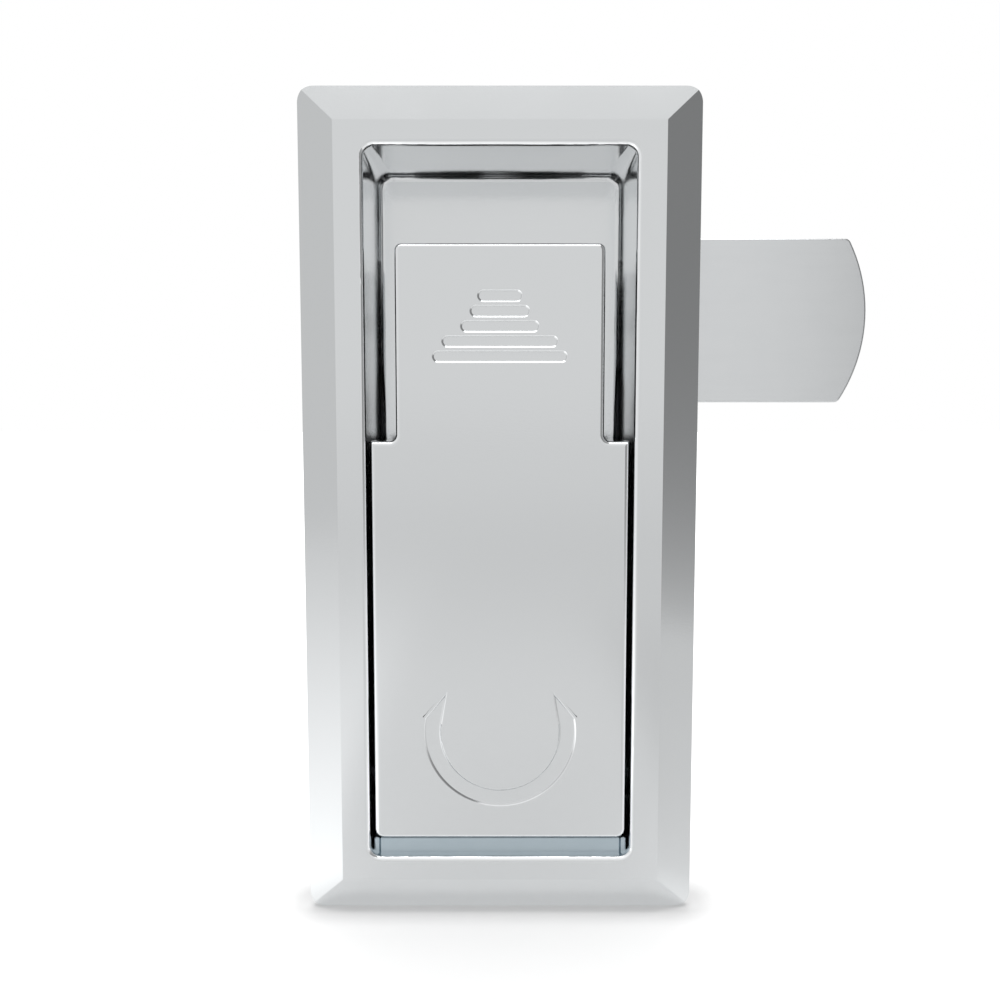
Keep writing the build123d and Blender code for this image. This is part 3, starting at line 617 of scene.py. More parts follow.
@dataclass(frozen=True)
class TurnedSteel(Finish):
    """Turned steel: darker, with fine feed rings around the spindle.

    Fields:
        steel: colour of the cut metal.
        oiled: colour where oil has dried on it.
        patchy: share of that in the patches.
        axis_z: height of the turning axis.
        rough: roughness of clean and of oiled metal.
        worn: roughness that worn edges lose.
    """

    name: str = "turned_steel"
    bump: float = 5e-6
    steel: tuple = (0.5, 0.507, 0.512, 1.0)
    oiled: tuple = (0.4, 0.392, 0.38, 1.0)
    patchy: float = 0.5
    axis_z: float = 27.75 * MM
    rough: tuple = (0.26, 0.36)
    worn: float = 0.08

    def shade(self, graph: Graph) -> dict[str, Feed]:
        """Rings give the height; mottling darkens the metal and roughens it.

        Args:
            graph: the material's graph.

        Returns:
            The shader's inputs and the surface's Height.
        """
        rings = RINGS.use(graph, Axis_Z=self.axis_z)["Height"]
        grain = GRAIN.use(graph, Cells=4200.0, Patches=320.0)
        edge = EDGES.use(graph, Radius=0.2 * MM, Cells=800.0)["Edge"]
        colour = graph.tint(grain["Mottle"] * self.patchy, self.steel, self.oiled)
        rough = grain["Mottle"].ramp(0.0, 1.0, *self.rough) - edge * self.worn
        return {"Base Color": colour, "Roughness": rough, "Height": rings + grain["Height"]}


@dataclass(frozen=True)
class SinteredBronze(Finish):
    """Pressed and sintered bronze: warm, matt and full of fine pores.

    Fields:
        bronze: colour of the metal.
        pore: colour of its pores.
        pore_share: share of that in them.
        pore_span: grain heights between which a pore ends.
        rough: roughness of bright and of dull patches.
    """

    name: str = "sintered_bronze"
    bump: float = 12e-6
    bronze: tuple = (0.6, 0.43, 0.24, 1.0)
    pore: tuple = (0.2, 0.13, 0.07, 1.0)
    pore_share: float = 0.7
    pore_span: tuple = (0.36, 0.46)
    rough: tuple = (0.36, 0.48)

    def shade(self, graph: Graph) -> dict[str, Feed]:
        """Pores are the low spots of a fine noise.

        Args:
            graph: the material's graph.

        Returns:
            The shader's inputs and the surface's Height.
        """
        grain = GRAIN.use(graph, Cells=5200.0, Patches=500.0)
        pores = grain["Height"].ramp(*self.pore_span, 1.0, 0.0)
        return {"Base Color": graph.tint(pores * self.pore_share, self.bronze, self.pore),
                "Roughness": grain["Mottle"].ramp(0.0, 1.0, *self.rough), "Height": grain["Height"]}


@dataclass(frozen=True)
class MouldedRubber(Finish):
    """Moulded black rubber: matt, with a grey bloom in patches.

    Fields:
        black: colour of the rubber.
        bloom: colour of the bloom on it.
        patchy: share of that in the patches.
        rough: roughness of clean and of bloomed rubber.
    """

    name: str = "moulded_rubber"
    metallic: float = 0.0
    bump: float = 14e-6
    black: tuple = (0.022, 0.022, 0.023, 1.0)
    bloom: tuple = (0.06, 0.06, 0.058, 1.0)
    patchy: float = 0.6
    rough: tuple = (0.55, 0.72)

    def shade(self, graph: Graph) -> dict[str, Feed]:
        """Bloom and worn edges lighten the rubber; grain roughens it.

        Args:
            graph: the material's graph.

        Returns:
            The shader's inputs and the surface's Height.
        """
        grain = GRAIN.use(graph, Cells=2600.0, Patches=240.0)
        edge = EDGES.use(graph, Radius=0.25 * MM, Cells=900.0)["Edge"]
        mask = (grain["Mottle"] * self.patchy).math("MAXIMUM", edge)
        return {"Base Color": graph.tint(mask, self.black, self.bloom),
                "Roughness": grain["Mottle"].ramp(0.0, 1.0, *self.rough), "Height": grain["Height"]}


@dataclass
class FinishSet:
    """All finishes of the latch: one for each slot, and those of pieces with their own."""

    finishes: dict = field(default_factory=lambda: {
        Slot.CHROME: ChromePan(),
        "handle": ChromeLever(),
        # The marks' rolled rims take the painted highlight at 0.6 of its strength.
        "marks": ChromeLever(name="satin_chromium_marks", rim_from=(-3.7 * MM, -3.66 * MM),
                             rim_to=(-3.62 * MM, -3.58 * MM), rim_highlight_share=0.6),
        "foot_sill": PlatedSteel(name="blue_plate", pale=(0.4, 0.465, 0.505, 1.0),
                                 warm=(0.385, 0.45, 0.49, 1.0), rough=0.3, bump=2e-6, line_depth=0.03),
        Slot.RUBBER: MouldedRubber(),
        Slot.HARD_STEEL: PlatedSteel(name="ground_steel", pale=(0.46, 0.465, 0.47, 1.0),
                                     warm=(0.4, 0.4, 0.39, 1.0), rough=0.27, along=(0.06, 1.0, 1.0),
                                     line_depth=0.12),
        Slot.PLATED_STEEL: PlatedSteel(),
        Slot.PLATED_SHEET: PlatedSteel(name="plated_sheet", pale=(0.57, 0.585, 0.6, 1.0), rough=0.36,
                                       along=(0.05, 0.05, 1.0), line_depth=0.1),
        Slot.PAWL_STEEL: PlatedSteel(name="plated_strip", pale=(0.65, 0.664, 0.672, 1.0),
                                     warm=(0.64, 0.655, 0.664, 1.0), rough=0.28, bump=8e-7,
                                     along=(0.04, 1.0, 1.0), line_depth=0.02),
        Slot.TURNED_STEEL: TurnedSteel(),
        Slot.SPRING_STEEL: PlatedSteel(name="spring_wire", pale=(0.38, 0.385, 0.4, 1.0),
                                       warm=(0.3, 0.29, 0.28, 1.0), rough=0.26, bump=2e-6),
        Slot.BRONZE: SinteredBronze(),
    })
    materials: dict = field(default_factory=dict)

    def material(self, slot: Slot, own: str = "") -> bpy.types.Material:
        """Builds the material of a slot, or a piece's own one, on first use.

        Args:
            slot: the slot.
            own: the key of a piece's own finish, if it has one.

        Returns:
            The material.
        """
        key = own if own in self.finishes else slot
        if key not in self.materials:
            self.materials[key] = self.finishes[key].build()
        return self.materials[key]

    def dress_frame(self, frame: dict) -> None:
        """Gives every node of the loaded frame the finish that its record names.

        Args:
            frame: what the frame's load call returned.
        """
        for part in frame["record"]["subparts"]:
            node = frame["nodes"][part["node"]]
            material = self.material(Slot(part["material_slot"]), part["node"])
            if not node.material_slots:
                node.data.materials.append(material)
            for slot in node.material_slots:
                slot.material = material
            LOG.info("%s: %s, %d triangles", node.name, material.name, len(node.data.polygons))


def axis_z() -> float:
    """Returns the height of the spindle's axis."""
    low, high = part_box("spindle")
    return (low.z + high.z) / 2


def four_quarters(steps: int) -> np.ndarray:
    """Returns the angles of four quarter circles, each with both of its ends."""
    quarter = np.linspace(0.0, math.pi / 2, steps)
    return np.concatenate([quarter + corner * math.pi / 2 for corner in range(4)])


@dataclass
class MeshMaker:
    """Turns grids of points into closed, outward-facing pieces of the latch."""

    finishes: FinishSet
    sharp_angle: float = math.radians(32)

    def merge(self, mesh: bpy.types.Mesh) -> bmesh.types.BMesh:
        """Copies a mesh for work on it, with its doubled points merged.

        Args:
            mesh: the mesh, which stays as it is.

        Returns:
            The copy.
        """
        work = bmesh.new()
        work.from_mesh(mesh)
        bmesh.ops.remove_doubles(work, verts=work.verts, dist=MERGE)
        return work

    def write(self, work: bmesh.types.BMesh, mesh: bpy.types.Mesh) -> None:
        """Writes the work back into its mesh and smooths it.

        Args:
            work: its points and faces, freed afterwards.
            mesh: the mesh that they go into.
        """
        work.to_mesh(mesh)
        work.free()
        mesh.shade_smooth()

    def link(self, name: str, mesh: bpy.types.Mesh, slot: Slot, own: str = "") -> bpy.types.Object:
        """Merges a mesh, turns its faces outwards and makes it a piece.

        Args:
            name: the piece's name.
            mesh: its mesh, with its place in its points.
            slot: the finish that it takes.
            own: the key of a finish of its own, if it has one.

        Returns:
            The piece.
        """
        work = self.merge(mesh)
        bmesh.ops.dissolve_degenerate(work, edges=work.edges, dist=MERGE)
        bmesh.ops.recalc_face_normals(work, faces=work.faces)
        self.write(work, mesh)
        mesh.set_sharp_from_angle(angle=self.sharp_angle)
        return self.place(name, mesh, slot, own)

    def place(self, name: str, mesh: bpy.types.Mesh, slot: Slot, own: str = "") -> bpy.types.Object:
        """Puts a clean mesh in the scene as a piece.

        Args:
            name: the piece's name.
            mesh: its mesh.
            slot: the finish that it takes.
            own: the key of a finish of its own, if it has one.

        Returns:
            The piece.
        """
        mesh.materials.clear()
        mesh.materials.append(self.finishes.material(slot, own))
        piece = bpy.data.objects.new(name, mesh)
        bpy.context.scene.collection.objects.link(piece)
        LOG.info("%s: new piece, %d faces", name, len(mesh.polygons))
        return piece

    def mesh(self, name: str, points: Sequence[np.ndarray], faces: list) -> bpy.types.Mesh:
        """Makes a mesh from grids of points and a list of faces.

        Args:
            name: the mesh's name.
            points: arrays whose last axis is a point.
            faces: each face's points, counted through all grids.

        Returns:
            The mesh.
        """
        mesh = bpy.data.meshes.new(name)
        mesh.from_pydata(np.concatenate([grid.reshape(-1, 3) for grid in points]).tolist(), [], faces)
        return mesh

    def quads(self, rows: int, columns: int, ring: bool = True, wrap: bool = False) -> np.ndarray:
        """Joins the neighbours in a grid to quads.

        Args:
            rows: number of its rows.
            columns: number of points in a row.
            ring: closes each row on itself.
            wrap: joins the last row to the first.

        Returns:
            Faces by four.
        """
        row = np.arange(rows if wrap else rows - 1)[:, None]
        column = np.arange(columns if ring else columns - 1)[None, :]
        after, beside = (row + 1) % rows * columns, (column + 1) % columns
        corners = (row * columns + column, row * columns + beside, after + beside, after + column)
        return np.stack(np.broadcast_arrays(*corners), -1).reshape(-1, 4)

    def surface(self, name: str, grids: Iterable[np.ndarray], wrap: bool = False) -> bpy.types.Mesh:
        """Makes one mesh from grids whose rows close on themselves.

        Where the rows don't join end to end, a fan to the row's mean point closes
        each end.

        Args:
            name: the mesh's name.
            grids: arrays of rows by points by three.
            wrap: joins the last row of a grid to its first.

        Returns:
            The mesh, still unmerged.
        """
        points, faces, start = [], [], 0
        for grid in grids:
            if not wrap:
                fans = [np.broadcast_to(end.mean(0), end.shape)[None] for end in (grid[0], grid[-1])]
                grid = np.concatenate([fans[0], grid, fans[1]])
            faces += (start + self.quads(*grid.shape[:2], wrap=wrap)).tolist()
            points.append(grid)
            start += grid.shape[0] * grid.shape[1]
        return self.mesh(name, points, faces)


@dataclass
class ReturnSpring:
    """Conical return spring with closed end turns, around the housing's barrel.

    Fields:
        wire: radius of the wire.
        taper: how much narrower the far end is, by radius.
        turns: turns from end to end.
        flat: turns at each end that lie flat.
        ease: share of the pitch that fades towards the flat ends.
        first: angle at which the wire begins.
        steps_per_turn: sections in a turn.
        wire_steps: points around the wire.
    """

    maker: MeshMaker
    wire: float = 0.6 * MM
    taper: float = 1.15 * MM
    turns: float = 2.3
    flat: float = 0.36
    ease: float = 0.2
    first: float = math.radians(40)
    steps_per_turn: int = 72
    wire_steps: int = 14

    def build(self) -> bpy.types.Object:
        """Carries a circle along a conical helix whose pitch fades at both ends.

        Angle grows evenly. Height is the clamped share of the turns between the
        flat ends, eased; radius falls evenly from the wide to the narrow end.
        The circle is drawn in the plane of the radius and the latch's depth.

        Returns:
            The spring, stretching between the housing and the spindle.
        """
        low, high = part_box("return_spring")
        centre_z = axis_z()
        start, end = low.y + self.wire, high.y - self.wire
        turn = np.linspace(0.0, self.turns, int(self.turns * self.steps_per_turn))
        share = np.clip((turn - self.flat) / (self.turns - 2 * self.flat), 0.0, 1.0)
        eased = (1 - self.ease) * share + self.ease * share * share * (3 - 2 * share)
        height = start + (end - start) * eased
        radius = high.x - self.wire - self.taper * turn / self.turns
        angle = TURN * turn[:, None] + self.first
        ring = np.linspace(0.0, TURN, self.wire_steps, endpoint=False)[None, :]
        reach = radius[:, None] + self.wire * np.cos(ring)
        grid = np.stack([reach * np.cos(angle), height[:, None] + self.wire * np.sin(ring),
                         centre_z + reach * np.sin(angle)], -1)
        mesh = self.maker.surface("return_spring_coil", [grid])
        piece = self.maker.link("return_spring_coil", mesh, Slot.SPRING_STEEL)
        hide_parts("return_spring")
        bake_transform(piece)
        return piece


@dataclass
class SpindleEnd:
    """Spindle with a cut thread on its end, in place of the plain cylinder.

    Fields:
        crest: radius over the thread.
        root: radius at the thread's root.
        groove: how much deeper the middle of the root is.
        shares: shares of a pitch at which crest, root and groove lie.
        pitch: distance between turns.
        lead_in: length and depth of the chamfer at the end.
        join_y: depth where the threaded end begins.
        steps: points in a turn.
    """

    maker: MeshMaker
    crest: float = 4.0 * MM
    root: float = 3.35 * MM
    groove: float = 0.04 * MM
    shares: tuple = (0.0, 0.125, 0.4, 0.5, 0.6)
    pitch: float = 1.25 * MM
    lead_in: float = 0.8 * MM
    join_y: float = 24.1 * MM
    steps: int = 72

    def thread(self, centre_z: float, end_y: float) -> bpy.types.Mesh:
        """Makes the thread's closed mesh, with a flat disc at each end.

        Rows follow the helix: each turn has crest and root flats joined by flanks,
        and a point's depth grows by one pitch in a full turn. Radius is the least
        of the profile and of 45 degree cones at both ends, and depth is clamped to
        the ends, so that the rows beyond them shrink onto the end circles.

        Args:
            centre_z: height of the spindle's axis.
            end_y: depth of the spindle's end.

        Returns:
            The mesh; its seam closes when doubles are merged.
        """
        radii = np.array([self.crest, self.crest, self.root, self.root - self.groove, self.root])
        turns = np.arange(-2, math.ceil((end_y - self.join_y) / self.pitch) + 2)
        offsets = (turns[:, None] + np.array(self.shares)[None, :]).reshape(-1, 1) * self.pitch
        angle = np.linspace(0.0, TURN, self.steps + 1)[None, :]
        depth = np.clip(self.join_y + offsets + self.pitch * angle / TURN, self.join_y, end_y)
        cone = self.crest - self.lead_in + np.minimum(end_y - depth, depth - self.join_y)
        radius = np.minimum(np.tile(radii, len(turns)).reshape(-1, 1), cone)
        grid = np.stack([radius * np.cos(angle), depth, centre_z + radius * np.sin(angle)], -1)
        ends = [np.broadcast_to((0.0, y, centre_z), grid[:1].shape) for y in (self.join_y, end_y)]
        grid = np.concatenate([ends[0], grid, ends[1]])
        faces = self.maker.quads(*grid.shape[:2], ring=False).tolist()
        return self.maker.mesh("spindle_thread", [grid], faces)

    def build(self, frame: dict) -> list[bpy.types.Object]:
        """Cuts the plain end off a merged copy of the spindle and adds the thread.

        Args:
            frame: what the frame's load call returned.

        Returns:
            The cut spindle and its threaded end.
        """
        mesh = frame["nodes"]["spindle"].data.copy()
        work = self.maker.merge(mesh)
        everything = work.verts[:] + work.edges[:] + work.faces[:]
        bmesh.ops.bisect_plane(work, geom=everything, plane_co=(0, self.join_y + self.lead_in, 0),
                               plane_no=(0, 1, 0), clear_outer=True)
        bmesh.ops.holes_fill(work, edges=[edge for edge in work.edges if edge.is_boundary])
        self.maker.write(work, mesh)
        shaft = self.maker.link("spindle_shaft", mesh, Slot.TURNED_STEEL)
        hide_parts("spindle")
        mesh = self.thread(axis_z(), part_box("spindle")[1].y)
        thread = self.maker.link("spindle_thread", mesh, Slot.TURNED_STEEL)
        for piece in (shaft, thread):
            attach(piece, Body.SPINDLE.value)
        return [shaft, thread]


@dataclass
class BezelGasket:
    """Rubber ring in the bezel's back, with two sealing lips.

    Fields:
        width: width of the ring.
        web: share of its height that the lips stand on.
        corner: radius of its outer corners.
        corner_steps: sections around a corner.
        lip_steps: points across the lips.
    """

    maker: MeshMaker
    width: float = 2.4 * MM
    web: float = 0.55
    corner: float = 2.2 * MM
    corner_steps: int = 10
    lip_steps: int = 21

    def profile(self, height: float) -> np.ndarray:
        """Section of the ring: distance from its outer edge, and height above its seat.

        The base and sides are straight; the top is a raised cosine with two crests.

        Args:
            height: full height of the lips above the groove's floor.

        Returns:
            Points by two, going once around.
        """
        across = np.linspace(0.0, 1.0, self.lip_steps)
        lips = 0.5 - 0.5 * np.cos(2 * TURN * across)
        section = np.stack([across * self.width, height * (self.web + (1 - self.web) * lips)], -1)
        return np.concatenate([section, [[self.width, 0.0], [0.0, 0.0]]])

    def build(self) -> bpy.types.Object:
        """Carries the section around a rectangle with rounded corners.

        Each corner is a quarter circle about its own centre; a point of the section
        lies its own distance inside the outer circle, and square beyond its centre.

        Returns:
            The gasket, riding on the housing.
        """
        low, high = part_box("bezel_gasket")
        section = self.profile(high.y - low.y)
        angle = four_quarters(self.corner_steps)[:, None]
        signs = np.array([(1, 1), (-1, 1), (-1, -1), (1, -1)], float).repeat(self.corner_steps, axis=0)
        centre = signs * (high.x - self.corner, high.z - self.corner)
        inset = (self.corner - section[:, 0])[None, :]
        x, z = centre[:, :1] + inset * np.cos(angle), centre[:, 1:] + inset * np.sin(angle)
        grid = np.stack([x, np.broadcast_to(low.y + section[:, 1], x.shape), z], -1)
        mesh = self.maker.surface("gasket_ring", [grid], wrap=True)
        piece = self.maker.link("gasket_ring", mesh, Slot.RUBBER)
        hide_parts("bezel_gasket")
        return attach(piece, Body.HOUSING.value)


@dataclass
class SplitWasher:
    """Spring washer with a slanted split and rounded edges.

    Fields:
        inner: radius of its hole.
        outer: radius of its rim.
        split: width of the split.
        slant: how far the split leans over the washer's height.
        edge: radius of its rounded edges.
        steps: sections around it.
        edge_steps: points around an edge.
    """

    maker: MeshMaker
    inner: float = 4.08 * MM
    outer: float = 6.6 * MM
    split: float = 1.2 * MM
    slant: float = 1.1 * MM
    edge: float = 0.35 * MM
    steps: int = 90
    edge_steps: int = 4

    def build(self) -> bpy.types.Object:
        """Carries a rounded rectangle around the axis, short of a full turn.

        Each section's angle leans with its height, which slants both ends.

        Returns:
            The washer, riding on the spindle.
        """
        low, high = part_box("lock_washer")
        turn = four_quarters(self.edge_steps)
        outer, inner = self.outer - self.edge, self.inner + self.edge
        upper, lower = high.y - self.edge, low.y + self.edge
        radius = np.repeat([outer, inner, inner, outer], self.edge_steps) + self.edge * np.cos(turn)
        depth = np.repeat([upper, upper, lower, lower], self.edge_steps) + self.edge * np.sin(turn)
        half_gap = (self.split + self.slant) / 2 / self.outer
        sweep = np.linspace(half_gap, TURN - half_gap, self.steps)
        lean = (depth - (low.y + high.y) / 2) / (high.y - low.y) * self.slant / self.outer
        angle = sweep[:, None] + lean[None, :] + math.pi / 2
        grid = np.stack([radius * np.cos(angle), np.broadcast_to(depth, angle.shape),
                         axis_z() + radius * np.sin(angle)], -1)
        mesh = self.maker.surface("split_washer", [grid])
        piece = self.maker.link("split_washer", mesh, Slot.SPRING_STEEL)
        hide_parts("lock_washer")
        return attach(piece, Body.SPINDLE.value)


@dataclass(frozen=True)
class Groove:
    """Section of a sunk mark, in millimetres.

    Fields:
        slope_deg: steepest slope.
        roll: radius of the upper bend.
        fall: depth of the straight wall.
        runout: radius of the lower bend.
        overlap: width of the rim on the face.
        bend_steps: points around a bend.
    """

    slope_deg: float
    roll: float
    fall: float
    runout: float
    overlap: float
    bend_steps: int = 7

    def section(self) -> np.ndarray:
        """Works out the section from its rim to its floor.

        The rim is flat; a circle of radius roll turns it down to the slope, a
        straight wall falls so far, and a circle of radius runout levels it out.

        Returns:
            Insets and depths, as points by two.
        """
        slope = math.radians(self.slope_deg)
        bend = np.linspace(0.0, slope, self.bend_steps)
        back = bend[-2::-1]
        upper = self.roll * np.stack([np.sin(bend), 1 - np.cos(bend)], -1)
        wall = upper[-1] + np.array([[self.fall / math.tan(slope), self.fall]])
        lower = self.runout * np.stack([math.sin(slope) - np.sin(back),
                                        np.cos(back) - math.cos(slope)], -1)
        return np.concatenate([[[-self.overlap, 0.0]], upper, wall, wall + lower])


@dataclass
class LeverMarks:
    """Grip bars and turn arrow on the lever, with rolled edges, in millimetres.

    They line the sunk marks of the casting: a thin rim lies on the face, and the
    walls roll over, fall at a slope and run out on a floor.

    Fields:
        face_y: depth of the lever's face.
        rim: how far the rim stands on the face, to hide the joint.
        skirt: depth of the rim's outer edge, and inset and depth of the underside.
        bar_groove: section of a bar.
        bar_height: height of a bar.
        bar_widths: widths of the bars, from the top.
        bar_top: height of the top bar's middle.
        bar_pitch: distance between the bars.
        arrow_groove: section of the arrow.
        arrow_z: height of the arrow's centre.
        arrow_out: radius of its outer edge.
        arrow_in: radius of its inner edge.
        arrow_tip: tip of its right head, from its centre.
        arrow_out_deg: how far its outer arc runs past a half circle at each end.
        arrow_in_deg: how far its inner arc does.
        arc_steps: points of a bar's end, and of the outer and inner arc.
    """

    maker: MeshMaker
    face_y: float = -3.7
    rim: float = 0.003
    skirt: tuple = (0.03, 0.36, 0.33)
    bar_groove: Groove = Groove(42, 0.1, 0.17, 0.1, 0.04)
    bar_height: float = 1.74
    bar_widths: tuple = (6.15, 8.17, 10.7, 15.72, 18.26)
    bar_top: float = 28.94
    bar_pitch: float = 2.005
    arrow_groove: Groove = Groove(42, 0.14, 0.15, 0.2, 0.22)
    arrow_z: float = -30.6
    arrow_out: float = 10.58
    arrow_in: float = 8.05
    arrow_tip: tuple = (7.16, 5.95)
    arrow_out_deg: float = 11.3
    arrow_in_deg: float = 11.0
    arc_steps: tuple = (25, 120, 96)

    def inset(self, outline: np.ndarray, section: np.ndarray) -> np.ndarray:
        """Carries a section around a closed outline.

        Each point moves inwards along the mean of its two edges' normals, divided
        by one plus their cosine, so that every edge moves by the section's inset.

        Args:
            outline: points by two, as X and Z, anticlockwise seen from the front.
            section: insets and depths, from the rim inwards.

        Returns:
            Rows by points by three, in metres.
        """
        along = np.roll(outline, -1, axis=0) - outline
        along /= np.linalg.norm(along, axis=1, keepdims=True)
        normal = np.stack([-along[:, 1], along[:, 0]], -1)
        before = np.roll(normal, 1, axis=0)
        mitre = (normal + before) / (1 + (normal * before).sum(1, keepdims=True))
        flat = outline[None] + section[:, None, :1] * mitre[None]
        depth = np.broadcast_to(section[:, 1:] + self.face_y - self.rim, flat.shape[:2])
        return np.stack([flat[..., 0], depth, flat[..., 1]], -1) * MM

    def dish(self, name: str, outlines: Sequence[np.ndarray], groove: Groove) -> bpy.types.Object:
        """Makes closed dishes from outlines, with flat floors and a flat underside.

        Args:
            name: the piece's name.
            outlines: their outlines.
            groove: the section that all share.

        Returns:
            The piece, riding on the handle.
        """
        section = groove.section()
        edge, inwards, under = self.skirt
        outer = section[0, 0]
        section = np.concatenate([[[outer + inwards, under], [outer, edge]], section])
        points, faces, start = [], [], 0
        for outline in outlines:
            grid = self.inset(outline, section)
            rows, columns = grid.shape[:2]
            faces += (start + self.maker.quads(rows, columns)).tolist()
            ends = (start, start + (rows - 1) * columns)
            faces += [list(range(first, first + columns)) for first in ends]
            points.append(grid)
            start += rows * columns
        mesh = self.maker.mesh(name, points, faces)
        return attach(self.maker.link(name, mesh, Slot.CHROME, "marks"), Body.HANDLE.value)

    def bar(self, width: float, middle: float) -> np.ndarray:
        """Outline of a bar: two half circles joined by straight edges.

        Args:
            width: the bar's width.
            middle: height of its middle.

        Returns:
            Points by two, as X and Z.
        """
        half = self.bar_height / 2
        turn = np.linspace(-math.pi / 2, math.pi / 2, self.arc_steps[0])
        right = np.stack([width / 2 - half + half * np.cos(turn), middle + half * np.sin(turn)], -1)
        return np.concatenate([right, right * [-1, -1] + [0, 2 * middle]])

    def arrow(self) -> np.ndarray:
        """Outline of the arrow: two arcs about its centre, joined by its heads.

        Returns:
            Points by two, as X and Z.
        """
        arcs = []
        for radius, past, steps in ((self.arrow_out, self.arrow_out_deg, self.arc_steps[1]),
                                    (self.arrow_in, self.arrow_in_deg, self.arc_steps[2])):
            turn = np.radians(np.linspace(180 - past, 360 + past, steps))
            arcs.append(radius * np.stack([np.cos(turn), np.sin(turn)], -1))
        tip = np.array([self.arrow_tip])
        return np.concatenate([arcs[0], tip, arcs[1][::-1], tip * [-1, 1]]) + [0, self.arrow_z]

    def build(self) -> list[bpy.types.Object]:
        """Makes the bars and the arrow, riding on the handle.

        Returns:
            The bars and the arrow.
        """
        bars = [self.bar(width, self.bar_top - row * self.bar_pitch)
                for row, width in enumerate(self.bar_widths)]
        return [self.dish("grip_bars", bars, self.bar_groove),
                self.dish("turn_arrow", [self.arrow()], self.arrow_groove)]


@dataclass
class FootSill:
    """Sill across the foot of the recess, just clear of the lever's swing.

    Fields:
        half_width: half its length.
        front: depth of its face.
        rear: depth to which it is let into the pan's floor.
        low: height to which it is let into the end wall.
        high: height of its top.
        edge: radius of its long edges.
        edge_steps: points around an edge.
        notch_x: place of the notch near each end.
        notch: half its width, and its depth.
    """

    maker: MeshMaker
    half_width: float = 17.75 * MM
    front: float = -2.4 * MM
    rear: float = 13.8 * MM
    low: float = -48.9 * MM
    high: float = -46.15 * MM
    edge: float = 0.3 * MM
    edge_steps: int = 7
    notch_x: float = 16.9 * MM
    notch: tuple = (0.14 * MM, 0.22 * MM)

    def build(self) -> bpy.types.Object:
        """Carries a rounded rectangle from one end to the other.

        Each of its corners is a quarter circle about its own centre. The
        sections at both ends shrink along a quarter circle too, and one near
        each end shrinks between two full ones, as a notch.

        Returns:
            The sill, riding on the housing.
        """
        quarter = np.linspace(0.0, math.pi / 2, self.edge_steps)
        turn = four_quarters(self.edge_steps)
        near_y, far_y = self.front + self.edge, self.rear - self.edge
        near_z, far_z = self.high - self.edge, self.low + self.edge
        deep = np.repeat([far_y, near_y, near_y, far_y], self.edge_steps)
        tall = np.repeat([near_z, near_z, far_z, far_z], self.edge_steps)
        end = self.edge * np.stack([np.sin(quarter) - 1, 1 - np.cos(quarter)], -1)
        end = end + [self.half_width, 0.0]
        notch = np.array([[1, 0], [0, 1], [-1, 0]]) * self.notch + [self.notch_x, 0.0]
        right = np.concatenate([end[::-1], notch])
        sections = np.concatenate([right, (right * [-1, 1])[::-1]])
        reach = self.edge - sections[:, 1:]
        y, z = deep + reach * np.cos(turn), tall + reach * np.sin(turn)
        grid = np.stack(np.broadcast_arrays(sections[:, :1], y, z), -1)
        mesh = self.maker.surface("foot_sill", [grid])
        piece = self.maker.link("foot_sill", mesh, Slot.PLATED_STEEL, "foot_sill")
        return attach(piece, Body.HOUSING.value)


